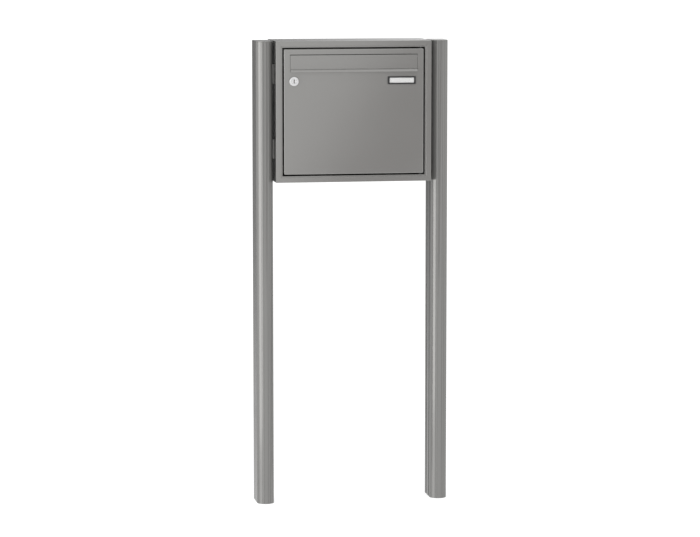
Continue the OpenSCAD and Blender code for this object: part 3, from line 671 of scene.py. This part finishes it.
def together(*parts):
    """Several skins as one: points are stacked, and each skin's faces count on from the last."""
    points, faces, offset = [], [], 0
    for part_points, part_faces in parts:
        points.append(part_points)
        faces += [[i + offset for i in face] for face in part_faces]
        offset += len(part_points)
    return np.concatenate(points), faces


def mirrored(part, flip=True):
    """A skin mirrored left to right, with its faces turned so that they still point outwards."""
    points, faces = part
    return (points * [-1, 1, 1], [face[::-1] for face in faces]) if flip else part


print("a block has", len(block(np.zeros(3), np.ones(3))[1]), "faces")

# %% [markdown]
# ## From a skin to a piece
# A piece takes its finish and its body from the CAD node that it stands for. Faces are shaded smooth
# across the small roundings, and a weighted-normal modifier keeps the large faces flat. An attribute
# marks the rounded edges, where the paint lays a painted highlight.

# %% Rounded edges
EDGE_WIDTH = 0.8 * MM
STRAIGHT = 0.999


def read(rows, what, kind=float, size=1):
    """One property of all the rows of a mesh, as an array of numbers."""
    values = np.empty(len(rows) * size, kind)
    rows.foreach_get(what, values)
    return values.reshape(-1, size) if size > 1 else values


def edge_mask(mesh):
    """1 on narrow slanting faces, which are the rounded edges of a piece, and 0 on all others.

    A long face of width w has about 2 x area / perimeter = w, so that ratio stands for the width. The
    mask is 1.5 - w / edge width, cut off at 0 and 1. A face is slanting if no coordinate of its normal
    is nearly 1.
    """
    ends = read(mesh.vertices, "co", size=3)[read(mesh.edges, "vertices", int, 2)]
    length = np.linalg.norm(ends[:, 0] - ends[:, 1], axis=1)
    starts = read(mesh.polygons, "loop_start", int)
    perimeter = np.add.reduceat(length[read(mesh.loops, "edge_index", int)], starts)
    width = 2 * read(mesh.polygons, "area") / perimeter
    slanting = np.abs(read(mesh.polygons, "normal", size=3)).max(1) < STRAIGHT
    return slanting * np.clip(1.5 - width / EDGE_WIDTH, 0, 1)


print(f"faces count as edges up to about {EDGE_WIDTH / MM:.1f} mm wide")

# %% Pieces
SMOOTH_ANGLE = radians(32)
FACE_WEIGHT = 100


def dress(name, part, *nodes, coat_of=None):
    """Makes a piece from a skin, in the finish and on the body of the CAD nodes that it stands for."""
    points, faces = part
    mesh = bpy.data.meshes.new(name)
    mesh.from_pydata(points.tolist(), [], faces)
    shell = bmesh.new()
    shell.from_mesh(mesh)
    bmesh.ops.recalc_face_normals(shell, faces=shell.faces)
    shell.to_mesh(mesh)
    shell.free()
    mesh.shade_smooth()
    mesh.set_sharp_from_angle(angle=SMOOTH_ANGLE)
    # the edge mask drives the coat's painted highlight on rounded edges
    mesh.attributes.new("edge", "FLOAT", "FACE").data.foreach_set("value", edge_mask(mesh))
    piece = bpy.data.objects.new(name, mesh)
    scene.collection.objects.link(piece)
    flat = piece.modifiers.new("flat_faces", "WEIGHTED_NORMAL")
    flat.weight, flat.keep_sharp = FACE_WEIGHT, True
    slot_name = slot_of[nodes[0]]
    mesh.materials.append(coat_of or finish[slot_name])
    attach(piece, frame["nodes"][nodes[0]]["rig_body"])
    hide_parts(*nodes)
    print(f"{name}: {len(points)} points, stands for {', '.join(nodes)}")


# %% [markdown]
# ## Posts
# Each post is one hollow aluminium extrusion: a round nose in front with six fine grooves along it,
# flat sides, and two T-shaped channels along the inner side that hold the fixing nuts. An extrusion is
# the plainest case of an outline carried along a path. The nose is a half circle given by its angle,
# and a groove is simply a smaller radius over a small range of angles. The rest of the section is a
# polygon with rounded corners. The end is a flat face with a hole, which Blender's polygon filler
# splits into triangles. The sawn ends are barely eased, because an ease that is larger than the radii
# of the fine grooves would make the end fold over itself.

# %% Post sizes and channels
POST_WALL = 2.5 * MM
CHANNEL_MOUTH, CHANNEL_WIDTH, CHANNEL_DEPTH, CHANNEL_WEB = 8.5 * MM, 15 * MM, 7 * MM, 2 * MM
post_low, post_high = reach("right_post")
post_width = post_high[0] - post_low[0]
spacer_low, spacer_high = reach("spacer_upper_right")
channel_inset = CHANNEL_WIDTH / 2 + CHANNEL_WEB
channels = np.array([spacer_high[1] - channel_inset, spacer_low[1] + channel_inset])


def channel_corners(at):
    """Corners of one T-shaped channel, from its rear lip round to its front lip, in x and y."""
    face, lip = post_low[0], post_low[0] + POST_WALL
    floor_x = lip + CHANNEL_DEPTH
    mouth, wide = CHANNEL_MOUTH / 2, CHANNEL_WIDTH / 2
    upper = [(face, at + mouth), (lip, at + mouth), (lip, at + wide), (floor_x, at + wide)]
    return upper + [(x, 2 * at - y) for x, y in upper[::-1]]


print(f"post {post_width / MM:.1f} mm wide, channels at y", np.round(channels, 4))

# %% Post outline and nose
POST_STEPS = 18
HEEL_RADIUS, NOSE_SHARE = 1.5 * MM, 0.999
GROOVE_WIDTH, LINE_DEPTH = 0.5 * MM, 1 * MM
GROOVE_ANGLES = np.radians([-62, -29, -14.5, 14.5, 29, 62])
GROOVE_LIPS, GROOVE_WALL = (-1, -0.9, 0.9, 1), 0.95


def post_outline(inset=0.0):
    """The four corners and radii of the post's D-shaped outline, set in by a wall if wanted.

    The two front corners have a radius just under half the width, so together they make the nose.
    """
    (x0, y0), (x1, y1) = post_low[:2] + inset, post_high[:2] - inset
    nose = NOSE_SHARE * (x1 - x0) / 2
    return [(x0, y0), (x1, y0), (x1, y1), (x0, y1)], [nose, nose, HEEL_RADIUS, HEEL_RADIUS]


def grooved_nose():
    """Points round the nose from side to side, at (R sin a, -R cos a) from its centre for angle a.

    R is half the post's width, less the depth of a groove wherever a lies within its two walls.
    """
    half = GROOVE_WIDTH / post_width
    lips = [GROOVE_ANGLES + lip * half for lip in GROOVE_LIPS]
    angles = np.sort(np.concatenate([np.linspace(-pi / 2, pi / 2, 2 * POST_STEPS + 1), *lips]))
    apart = np.abs(angles[:, None] - GROOVE_ANGLES).min(1)
    radius = post_width / 2 - LINE_DEPTH * (apart < GROOVE_WALL * half)
    centre = post_low[:2] + post_width / 2
    return centre + radius[:, None] * np.stack([np.sin(angles), -np.cos(angles)], -1)


print("points round the grooved nose:", len(grooved_nose()))

# %% Post section
CHANNEL_EDGE, HOLLOW_EDGE = 0.35 * MM, 0.4 * MM
corners, radii = post_outline()
slots = [corner for at in channels for corner in channel_corners(at)]
outer = fillet(corners + slots, radii + [CHANNEL_EDGE] * len(slots), POST_STEPS)
outer = np.concatenate([grooved_nose(), outer[2 * (POST_STEPS + 1):]])

corners, radii = post_outline(POST_WALL)
inner_x = post_low[0] + POST_WALL
box_x = inner_x + CHANNEL_DEPTH + CHANNEL_WEB
boxes = [
    (x, at + side * channel_inset)
    for at in channels
    for side, x in ((1, inner_x), (1, box_x), (-1, box_x), (-1, inner_x))
]
hollow = fillet(corners + boxes, radii + [HOLLOW_EDGE] * len(boxes), POST_STEPS)
print("post section:", len(outer), "points outside,", len(hollow), "inside")

# %% Post extrusions
SAWN_EASE = 0.1 * MM
SIDES = ("left", "right")


def tube(outside, inside, start, stop, ease):
    """A hollow bar along z: an outline carried with eased ends, a straight hole, and filled end faces."""
    wall_points, wall_faces = carry(outside, "z", start, stop, ease)
    hole_points, hole_faces = skin(np.stack([np.insert(inside, 2, z, axis=1) for z in (start, stop)]))
    shift, near, far = len(wall_points), len(outside), len(inside)
    faces = wall_faces[:-2] + (np.array(hole_faces[:-2])[:, ::-1] + shift).tolist()
    for first, second in ((0, 0), (shift - near, len(hole_points) - far)):
        loops = [wall_points[first:first + near], hole_points[second:second + far]]
        fill = np.array(tessellate_polygon(loops))
        faces += np.where(fill < near, fill + first, fill - near + shift + second).tolist()
    return np.concatenate([wall_points, hole_points]), faces


post = tube(outer, hollow, post_low[2], post_high[2], SAWN_EASE)
for side in SIDES:
    dress(f"{side}_post_extrusion", mirrored(post, side == "left"), f"{side}_post", coat_of=shaded_post_coat)

# %% [markdown]
# ## Post caps
# A flat cap closes each post. It has the post's own outline without the channels and grooves, and its
# edges are rounded over. Under it a plug sits inside the post, as wide as the insert in the foot.

# %% Caps
CAP_EDGE, CAP_STEPS = 0.9 * MM, 4
cap_low, cap_high = reach("right_post_cap")
plug_low, plug_high = reach("right_foot_insert")
cap_outline = fillet(*post_outline(), POST_STEPS)
cap_plate = carry(cap_outline, "z", post_high[2], cap_high[2], CAP_EDGE, CAP_STEPS)
plug = block((*plug_low[:2], cap_low[2]), (*plug_high[:2], post_high[2] + CAP_EDGE), axis="z")
for side in SIDES:
    cap = mirrored(together(cap_plate, plug), side == "left")
    dress(f"{side}_cap_cover", cap, f"{side}_post_cap", coat_of=shaded_post_coat)

# %% [markdown]
# ## Front frame
# Four rails are cut at 45 degrees and joined at the corners. One rail is a folded section: a flat outer
# face, a small step back to a second strip, and a return that lines the door opening. The mitre comes
# for free when the section is carried along: a point that lies u inside the outer edge starts u later
# and stops u earlier.

# %% Rails
RAIL_FACE, RAIL_WIDTH, RAIL_WALL = 12.5 * MM, 16.5 * MM, 1.8 * MM
STEP_BACK, RETURN_DEPTH, LEG_DEPTH, LEG_IN = 2 * MM, 20 * MM, 22 * MM, 1.7 * MM
MITRE_GAP = 0.05 * MM
rail_corners = [
    (0, 0), (RAIL_FACE, 0), (RAIL_FACE, STEP_BACK), (RAIL_WIDTH, STEP_BACK), (RAIL_WIDTH, RETURN_DEPTH),
    (RAIL_WIDTH - RAIL_WALL, RETURN_DEPTH), (RAIL_WIDTH - RAIL_WALL, STEP_BACK + RAIL_WALL),
    (RAIL_FACE - RAIL_WALL, STEP_BACK + RAIL_WALL), (RAIL_FACE - RAIL_WALL, RAIL_WALL),
    (LEG_IN + RAIL_WALL, RAIL_WALL), (LEG_IN + RAIL_WALL, LEG_DEPTH),
    (LEG_IN, LEG_DEPTH), (LEG_IN, RAIL_WALL), (0, RAIL_WALL),
]
rail_radii = np.array([0.9, 0.7, 0.35, 0.7] + [0.3] * 10) * MM
rail_section = fillet(rail_corners, rail_radii)


def rail(length):
    """The section carried along w from u + gap to length - u - gap, as points (u, depth, w)."""
    u = rail_section[:, 0]
    ends = np.stack([u + MITRE_GAP, length - u - MITRE_GAP])
    section = np.broadcast_to(rail_section, (2, *rail_section.shape))
    return skin(np.concatenate([section, ends[:, :, None]], 2))


points, faces = rail(top_z - bottom_z)
upright = points + [-side_x, front_y, bottom_z], faces
for side in SIDES:
    dress(f"{side}_frame_rail", mirrored(upright, side == "right"), f"{side}_rail")
points, faces = rail(2 * side_x)
u, depth, w = points.T
along_top = np.column_stack([w - side_x, front_y + depth, top_z - u])
along_bottom = np.column_stack([side_x - w, front_y + depth, bottom_z + u])
dress("top_frame_rail", (along_top, faces), "top_rail")
dress("bottom_frame_rail", (along_bottom, faces), "bottom_rail")

# %% [markdown]
# ## Casing
# The box behind the frame is made of flat sheets with folded joining flanges, riveted together. The
# rivets are set flush and sprayed over with the box, so each shows outside as a faint round swelling.
# A swelling is a low dome: rings of shrinking radius whose height follows a parabola.

# %% Rivet swellings
SWELL_RADIUS, SWELL_HEIGHT, SWELL_ROOT = 3.1 * MM, 0.22 * MM, 0.1 * MM
SWELL_SHARES, SWELL_SIDES = np.array([1.0, 0.85, 0.6, 0.35, 0.1]), 20


def round_angles(count):
    """Equal angles once round a circle, from nought."""
    return np.linspace(0, 2 * pi, count, endpoint=False)


def swellings(centres, axis, way):
    """Low domes at several centres: radius R t and height H (1 - t squared), for t from 1 to 0.1.

    The first ring, at t = 1, lies a little inside the sheet.
    """
    angle = round_angles(SWELL_SIDES)
    height = np.where(SWELL_SHARES == 1.0, -SWELL_ROOT, SWELL_HEIGHT * (1 - SWELL_SHARES**2))
    circle = np.stack([np.cos(angle), np.sin(angle)], -1) * SWELL_RADIUS
    rings = np.concatenate([
        SWELL_SHARES[:, None, None] * circle,
        np.broadcast_to(way * height[:, None, None], (len(height), SWELL_SIDES, 1)),
    ], 2)[:, :, TURNS[axis]]
    return together(*[skin(rings + np.array(centre)) for centre in centres])


print(f"swellings {2 * SWELL_RADIUS / MM:.1f} mm wide and {SWELL_HEIGHT / MM:.2f} mm high")

# %% Side sheets
RIVET_DEPTHS = np.array([36, 76.5, 117]) * MM
EDGE_RIVET_IN, BACK_RIVET_DEPTH, FRAME_RIVET_DEPTH = 7.75 * MM, 137.25 * MM, 18 * MM
BACK_RIVET_SPREAD, FRAME_RIVET_SPREAD_Z = 139 * MM, 108 * MM
THREE = np.array([-1, 0, 1])
middle_z = (top_z + bottom_z) / 2

side_rivets = [
    (side_x, front_y + depth, z)
    for depth in RIVET_DEPTHS for z in (top_z - EDGE_RIVET_IN, bottom_z + EDGE_RIVET_IN)
]
side_rivets += [(side_x, front_y + BACK_RIVET_DEPTH, z) for z in middle_z + THREE * BACK_RIVET_SPREAD]
side_rivets += [(side_x, front_y + FRAME_RIVET_DEPTH, z) for z in middle_z + THREE * FRAME_RIVET_SPREAD_Z]
side_sheet = together(block(*reach("right_panel"), axis="x"), swellings(side_rivets, "x", 1))
for side in SIDES:
    dress(f"{side}_casing_sheet", mirrored(side_sheet, side == "left"), f"{side}_panel")

# %% Top and bottom sheets
SHEET, FLANGE = 1.5 * MM, 14 * MM
FRAME_RIVET_SPREAD_X = 129 * MM


def level_sheet(node, face_z, into):
    """The top or bottom sheet with its two side flanges; into is -1 where the flanges hang down."""
    low, high = reach(node)
    plate_z = sorted((face_z, face_z + into * SHEET))
    plate = block((*low[:2], plate_z[0]), (*high[:2], plate_z[1]), axis="z")
    flange_z = sorted((face_z + into * SHEET, face_z + into * FLANGE))
    right = block(
        (side_x - 2 * SHEET, front_y + LEG_DEPTH, flange_z[0]),
        (side_x - SHEET, back_y - FLANGE, flange_z[1]),
    )
    rivets = [(x, front_y + FRAME_RIVET_DEPTH, face_z) for x in THREE * FRAME_RIVET_SPREAD_X]
    return together(plate, right, mirrored(right), swellings(rivets, "z", -into))


dress("top_casing_sheet", level_sheet("top_panel", top_z, -1), "top_panel")
dress("bottom_casing_sheet", level_sheet("bottom_panel", bottom_z, 1), "bottom_panel")

# %% [markdown]
# ## Folded trays
# The back of the box and the door are trays: a flat sheet whose four edges are folded over. A tray's
# skin is a stack of rounded rectangles. Going from the flat face over the fold to the rim and back
# inside, each rectangle is a little smaller or larger and a little deeper. The fold is a quarter
# circle, so its rectangles are set in by R (1 - cos a) at a depth of R (1 - sin a).

# %% Back tray
FOLD, FOLD_STEPS, INNER_BEND = 2 * MM, 5, 0.15 * MM
TRAY_CORNER, LEAST_CORNER = 2.6 * MM, 0.3 * MM
RIM = 0.4 * MM


def upright_ring(low, high, corner, y):
    """A rounded rectangle in the plane of x and z, placed at y."""
    return np.insert(rectangle(low, high, corner), 1, y, axis=1)


def tray_rings(low, high, rows, y, way=1):
    """Each row (inset, depth) sets a rectangle in and places it at y + way x depth."""
    return np.array([
        upright_ring(low + inset, high - inset, max(TRAY_CORNER - inset, LEAST_CORNER), y + way * depth)
        for inset, depth in rows
    ])


def fold_rows(rim_depth):
    """Rows (inset, depth) from the flat face over the fold to the rim, and back inside to the sheet."""
    angle = np.linspace(pi / 2, 0, FOLD_STEPS + 1)
    outside = np.column_stack([FOLD * (1 - np.cos(angle)), FOLD * (1 - np.sin(angle))])
    rim = [(0, rim_depth - RIM), (RIM / 3, rim_depth - RIM / 3), (RIM, rim_depth)]
    rim += [(SHEET - inset, depth) for inset, depth in rim[::-1]]
    bend = SHEET + INNER_BEND
    inside = [(SHEET, FOLD), (bend, bend), (FOLD, SHEET), (FOLD + RIM, SHEET)]
    return np.concatenate([[(FOLD + RIM, 0)], outside, rim, inside])


low, high = reach("back_panel")
back_rings = tray_rings(low[[0, 2]], high[[0, 2]], fold_rows(high[1] - low[1]), high[1], -1)
dress("back_casing_tray", skin(back_rings), "back_panel")

# %% [markdown]
# ## Door
# The door is the same kind of tray, with a long cut-out for the letter flap. So its skin is a closed
# band: over the fold, across the front to the cut-out, through the sheet, and back along the inside.
# Six small studs stand on its inside and hold the letter throat.

# %% Door band
CUT_SIDE, CUT_FOOT, CUT_TOP, CUT_CORNER = 0.6 * MM, 1 * MM, 2.3 * MM, 0.8 * MM
door_low, door_high = reach("door_panel")
throat_low = np.array([reach("throat_cheek_left")[1][0], reach("throat_bottom")[1][2]])
throat_high = np.array([reach("throat_cheek_right")[0][0], reach("throat_top")[0][2]])
cut_high = throat_high - [CUT_SIDE, CUT_TOP]
cut_low = np.array([-cut_high[0], throat_low[1] + CUT_FOOT])

door_rings = tray_rings(door_low[[0, 2]], door_high[[0, 2]], fold_rows(door_high[1] - front_y), front_y)
edge_rows = [(RIM, SHEET), (0, SHEET - RIM), (0, RIM), (RIM / 3, RIM / 3), (RIM, 0)]
cut_rings = [
    upright_ring(cut_low - grow, cut_high + grow, CUT_CORNER, front_y + depth)
    for grow, depth in edge_rows
]
door_band = np.concatenate([door_rings, cut_rings])
print("cut-out, mm:", np.round((cut_high - cut_low) / MM, 1))

# %% Door skin with its studs
STUD_RADIUS, STUD_LENGTH, STUD_SHARE = 1.6 * MM, 6 * MM, 0.6
THROAT_SHEET, TAB = 1.2 * MM, 8 * MM
ROD_SIDES = 24
flap_low, flap_high = reach("flap")
tab_middle = THROAT_SHEET + TAB / 2
stud_places = [
    (way * STUD_SHARE * flap_high[0], z)
    for way in (-1, 1) for z in (throat_high[1] + tab_middle, throat_low[1] - tab_middle)
]
cheek_stud_z = (throat_low[1] + joint_at["flap_hinge"][2]) / 2
stud_places += [(way * (throat_high[0] + tab_middle), cheek_stud_z) for way in (-1, 1)]


def rod(x, z, start, stop, radius):
    """A round rod along y with eased ends: the circle (z + R cos a, x + R sin a) carried along."""
    angle = round_angles(ROD_SIDES)
    circle = np.column_stack([z + radius * np.cos(angle), x + radius * np.sin(angle)])
    return carry(circle, "y", start, stop)


stud_y = front_y + SHEET
studs = [rod(x, z, stud_y - RIM, stud_y + STUD_LENGTH, STUD_RADIUS) for x, z in stud_places]
dress("door_skin", together(skin(door_band, closed=True), *studs), "door_panel")

# %% [markdown]
# ## Letter flap
# The flap is a single extrusion: a flat front, a lip that stands out along its foot for the fingers,
# and a rolled edge behind its top that turns on two pins. A fine groove parts the front from the lip
# and shows as a dark line above a bright one.

# %% Flap
LIP_OUT, LIP_HEIGHT, FLAP_SHEET, ROLL = 5.2 * MM, 6.5 * MM, 2 * MM, 4 * MM
GROOVE, GROOVE_DEPTH, SLOPE_UP = 1.8 * MM, 1.3 * MM, 0.6 * MM
GROOVE_FLOOR = (0.85, 0.3)
FLAP_STEPS = 8
axis_y, axis_z = joint_at["flap_hinge"][1:]
crease_z = flap_low[2] + LIP_HEIGHT - FLAP_SHEET / 2
slope_top = crease_z + SLOPE_UP
groove_y = front_y + GROOVE_DEPTH
groove_z = [slope_top + share * GROOVE for share in GROOVE_FLOOR]
flap_top = flap_high[2]
roll_back = axis_y + ROLL
flap_corners = [
    (front_y, flap_top), (front_y, slope_top + GROOVE), (groove_y, groove_z[0]), (groove_y, groove_z[1]),
    (front_y, slope_top), (front_y - LIP_OUT, crease_z + FLAP_SHEET - LIP_HEIGHT),
    (front_y - LIP_OUT, flap_low[2]), (front_y - 2 * FLAP_SHEET, flap_low[2]),
    (front_y + FLAP_SHEET, crease_z + FLAP_SHEET / 2), (front_y + FLAP_SHEET, axis_z - ROLL),
    (roll_back, axis_z - ROLL), (roll_back, flap_top),
]
flap_radii = np.array([0.8, 0.25, 0.15, 0.15, 0.25, 0.45, 0.4, 0.5, 3.0, 1.0, 3.6, 3.8]) * MM
flap_section = fillet(flap_corners, flap_radii, FLAP_STEPS)
dress("letter_flap", carry(flap_section, "x", flap_low[0], flap_high[0], SAWN_EASE), "flap")

# %% [markdown]
# ## Letter throat and stiffener
# Behind the flap four bent sheets form a short tunnel, so that a hand cannot reach the letters. Each is
# an angle: a plate and a narrow tab that is fixed to the door. Lower down a hat-shaped bar stiffens the
# door. All of them are bent sections carried along their length.

# %% Throat sheets
CUT_EASE = 0.2 * MM
BEND_RADII = np.array([1.5, 0.3, 0.3, 0.4, 0.3, 0.3]) * MM
throat_back = reach("throat_top")[1][1]


def angle_section(start, way, depth_first):
    """A bent sheet: a plate from the door inwards and a tab along the door, way +1 or -1."""
    plate, tab = start + way * THROAT_SHEET, start + way * (THROAT_SHEET + TAB)
    tab_y, tab_back = front_y + SHEET, front_y + SHEET + THROAT_SHEET
    corners = np.array([
        (tab_y, start), (throat_back, start), (throat_back, plate),
        (tab_back, plate), (tab_back, tab), (tab_y, tab),
    ])
    return fillet(corners if depth_first else corners[:, ::-1], BEND_RADII)


ceiling = angle_section(throat_high[1], 1, True)
threshold = angle_section(throat_low[1], -1, True)
for name, section, node in (
    ("throat_ceiling_sheet", ceiling, "throat_top"), ("throat_floor_sheet", threshold, "throat_bottom"),
):
    dress(name, carry(section, "x", throat_low[0], throat_high[0], CUT_EASE), node)
cheek = angle_section(throat_high[0], 1, False)
cheek_sheet = carry(cheek, "z", throat_low[1], throat_high[1], CUT_EASE)
for side in SIDES:
    dress(f"throat_{side}_sheet", mirrored(cheek_sheet, side == "left"), f"throat_cheek_{side}")

# %% Door bar
HAT_HEIGHT = 30 * MM
(left_x, near_y, low_z), (right_x, far_y, high_z) = reach("door_stiffener")
half, foot, hat_z = HAT_HEIGHT / 2, (high_z - low_z) / 2, (low_z + high_z) / 2
upper = np.array([
    (far_y, half), (near_y + THROAT_SHEET, half), (near_y + THROAT_SHEET, foot), (near_y, foot),
    (near_y, half - THROAT_SHEET), (far_y - THROAT_SHEET, half - THROAT_SHEET),
])
upper_radii = np.array([1.8, 0.5, 0.3, 0.3, 1.6, 0.6]) * MM
hat = np.concatenate([upper, upper[::-1] * [1, -1]]) + [0, hat_z]
hat_section = fillet(hat, np.concatenate([upper_radii, upper_radii[::-1]]))
dress("door_hat_bar", carry(hat_section, "x", left_x, right_x, CUT_EASE), "door_stiffener")

# %% [markdown]
# ## Lock
# The lock's rose is turned: a section carried round in a circle. Its plug has a narrow key slot. To go
# from the slot to the round rim, each ring gives its radius as a function of the angle: a superellipse,
# which is nearly a rectangle for the slot, and a plain circle for the rim.

# %% Lock rose
ROSE_STEPS = 96
PLUG_RADIUS, PLUG_GAP, BARREL_RADIUS = 6.5 * MM, 0.1 * MM, 9 * MM
turn = round_angles(ROSE_STEPS)
lock_low, lock_high = reach("lock_body")
rose_radius = (lock_high[0] - lock_low[0]) / 2


def about_lock(radii, depths):
    """Rings round the lock's axis at the given depths: x and z are the axis plus r cos a and r sin a.

    radii is rings x angles, or one number a ring.
    """
    radii = np.asarray(radii, float).reshape(len(depths), -1)
    radii = np.broadcast_to(radii, (len(depths), ROSE_STEPS))
    y = np.broadcast_to(np.asarray(depths)[:, None], radii.shape)
    return np.stack([lock_at[0] + radii * np.cos(turn), y, lock_at[2] + radii * np.sin(turn)], -1)


bore = PLUG_RADIUS + PLUG_GAP
rose_corners = [
    (bore, lock_low[1]), (rose_radius, lock_low[1]), (rose_radius, front_y),
    (BARREL_RADIUS, front_y), (BARREL_RADIUS, lock_high[1]), (bore, lock_high[1]),
]
rose_radii = np.array([0.35, 1.3, 0.2, 0.1, 0.3, 0.3]) * MM
rose_section = fillet(rose_corners, rose_radii)
dress("lock_rose", skin(about_lock(*rose_section.T), closed=True), "lock_body")

# %% Lock plug
SLOT_HALF_WIDTH, SLOT_HALF_HEIGHT, SLOT_DEPTH = 1.4 * MM, 5 * MM, 7 * MM
SLOT_POWER = 7
PLUG_SUNK, PLUG_BEHIND, PLUG_EASE = 0.3 * MM, 1 * MM, 0.25 * MM


def superellipse(angle, half_width, half_height, power):
    """Radius by angle: (|cos a / half width| ^ power + |sin a / half height| ^ power) ^ (-1 / power)."""
    across, up = np.abs(np.cos(angle) / half_width), np.abs(np.sin(angle) / half_height)
    return (across**power + up**power) ** (-1 / power)


slot = superellipse(turn, SLOT_HALF_WIDTH, SLOT_HALF_HEIGHT, SLOT_POWER)
rim = np.full(ROSE_STEPS, PLUG_RADIUS)
plug_front, plug_back = lock_low[1] + PLUG_SUNK, lock_high[1] + PLUG_BEHIND
plug_rings = [
    (slot, plug_front + SLOT_DEPTH), (slot, plug_front + PLUG_EASE), (slot + PLUG_EASE, plug_front),
    (rim - PLUG_EASE, plug_front), (rim, plug_front + PLUG_EASE), (rim, plug_back),
]
dress("lock_key_plug", skin(about_lock(*zip(*plug_rings))), "lock_plug")

# %% [markdown]
# ## Nameplate
# A slim dark frame holds a white card behind a clear window. The frame is a closed band of rounded
# rectangles again: round the outside, over the front, down into the window and back through the pocket
# behind it. Two pegs pass through the door. The card is left bare.

# %% Nameplate frame
BORDER = np.array([4.7, 3.5]) * MM
POCKET_OVER, PLATE_OUT, FRONT_LIP = 1.2 * MM, 2.6 * MM, 0.8 * MM
PLATE_EDGE, PLATE_STEPS, WINDOW_EDGE = 0.6 * MM, 4, 0.3 * MM
PLATE_CORNER, LIP_CORNER, WINDOW_CORNER = 1.5 * MM, 0.9 * MM, 0.7 * MM
PEG_RADIUS, PEG_ROOT = 1.5 * MM, 1.3 * MM
low, high = reach("nameplate_frame")
plate_low, plate_high = low[[0, 2]], high[[0, 2]]
pocket, lip_back = BORDER - POCKET_OVER, PLATE_OUT - FRONT_LIP

plate_rows = [(0, 0, PLATE_CORNER)]
plate_rows += [
    (PLATE_EDGE * (1 - cos(a)), PLATE_OUT - PLATE_EDGE * (1 - sin(a)), PLATE_CORNER)
    for a in np.linspace(0, pi / 2, PLATE_STEPS + 1)
]
plate_rows += [
    (BORDER - WINDOW_EDGE, PLATE_OUT, LIP_CORNER), (BORDER, PLATE_OUT - WINDOW_EDGE, WINDOW_CORNER),
    (BORDER, lip_back, WINDOW_CORNER), (pocket, lip_back, WINDOW_CORNER), (pocket, 0, WINDOW_CORNER),
]
plate_band = np.array([
    upright_ring(plate_low + inset, plate_high - inset, corner, front_y - out_of)
    for inset, out_of, corner in plate_rows
])
plate_z = (plate_low[1] + plate_high[1]) / 2
peg_x = plate_low[0] + pocket[0] / 2, plate_high[0] - pocket[0] / 2
pegs = [rod(x, plate_z, front_y - PEG_ROOT, high[1], PEG_RADIUS) for x in peg_x]
dress("nameplate_bezel", together(skin(plate_band, closed=True), *pegs), "nameplate_frame")

# %% Card and window
CARD_EDGE, PANE_EDGE, AIR = 0.08 * MM, 0.2 * MM, 0.06 * MM
dress("blank_card", block(*reach("name_card"), radius=CARD_EDGE), "name_card")
low, high = reach("card_window")
dress("clear_pane", block(low + AIR, high - AIR, radius=PANE_EDGE), "card_window")

# %% [markdown]
# ## Fixings
# Spacer blocks hold the box between the posts. Rubber buffers silence the door and the flap. At the
# back of each post two button-head screws hold the foot insert; a button head runs from a hexagon
# socket over a dome to its round rim, again by giving the radius as a function of the angle.

# %% Spacers and buffers
PAD_EDGE = 0.8 * MM
STOP_BUFFER_HEIGHT, FLAP_BUFFER_WIDTH = 20 * MM, 10 * MM
for level in ("upper", "lower"):
    for side in SIDES:
        node = f"spacer_{level}_{side}"
        dress(f"{node}_block", block(*reach(node), radius=PAD_EDGE, axis="x"), node)


def end_blocks(node, axis, size):
    """The two blocks of a node that fill its box to a given size from both of its ends along an axis."""
    low, high = reach(node)
    first, second = high.copy(), low.copy()
    along = "xyz".index(axis)
    first[along], second[along] = low[along] + size, high[along] - size
    return together(block(low, first, PAD_EDGE), block(second, high, PAD_EDGE))


dress("door_buffers", end_blocks("stop_buffers", "z", STOP_BUFFER_HEIGHT), "stop_buffers")
dress("flap_rests", end_blocks("flap_buffers", "x", FLAP_BUFFER_WIDTH), "flap_buffers")

# %% Foot screws
HEAD_RADIUS, HEAD_HEIGHT, SOCKET = 4.56 * MM, 2.4 * MM, 1.6 * MM
SOCKET_FLOOR, SOCKET_TOP, SOCKET_FLARE = 0.3 * HEAD_HEIGHT, 0.9 * HEAD_HEIGHT, 1.12
DOME_START, DOME_FLAT, DOME_STEPS = 1.6 * SOCKET, 0.1, 5
SCREW_RADIUS, SCREW_PITCH, SCREW_SIDES = 2.4 * MM, 14 * MM, 48
screw_low, screw_high = reach("foot_screws")
screw_y, screw_z = post_high[1], (screw_low[2] + screw_high[2]) / 2
insert_x = (plug_low[0] + plug_high[0]) / 2
spin = round_angles(SCREW_SIDES)
hexagon = SOCKET / np.cos((spin % (pi / 3)) - pi / 6)

head_rings = [(hexagon, SOCKET_FLOOR), (hexagon, SOCKET_TOP), (hexagon * SOCKET_FLARE, HEAD_HEIGHT)]
head_rings += [
    (DOME_START + (HEAD_RADIUS - DOME_START) * sin(a), HEAD_HEIGHT * cos(a))
    for a in np.linspace(DOME_FLAT, pi / 2, DOME_STEPS + 1)
]
head_rings += [(SCREW_RADIUS, 0), (SCREW_RADIUS, screw_low[1] - screw_y)]
radii = np.stack([np.broadcast_to(radius, spin.shape) for radius, _ in head_rings])
heights = np.broadcast_to(np.array([[height] for _, height in head_rings]), radii.shape)
screw = np.stack([radii * np.cos(spin), screw_y + heights, screw_z + radii * np.sin(spin)], -1)
screw_x = [way * insert_x + half * SCREW_PITCH / 2 for way in (-1, 1) for half in (-1, 1)]
dress("foot_screw_heads", together(*[skin(screw + [x, 0, 0]) for x in screw_x]), "foot_screws")
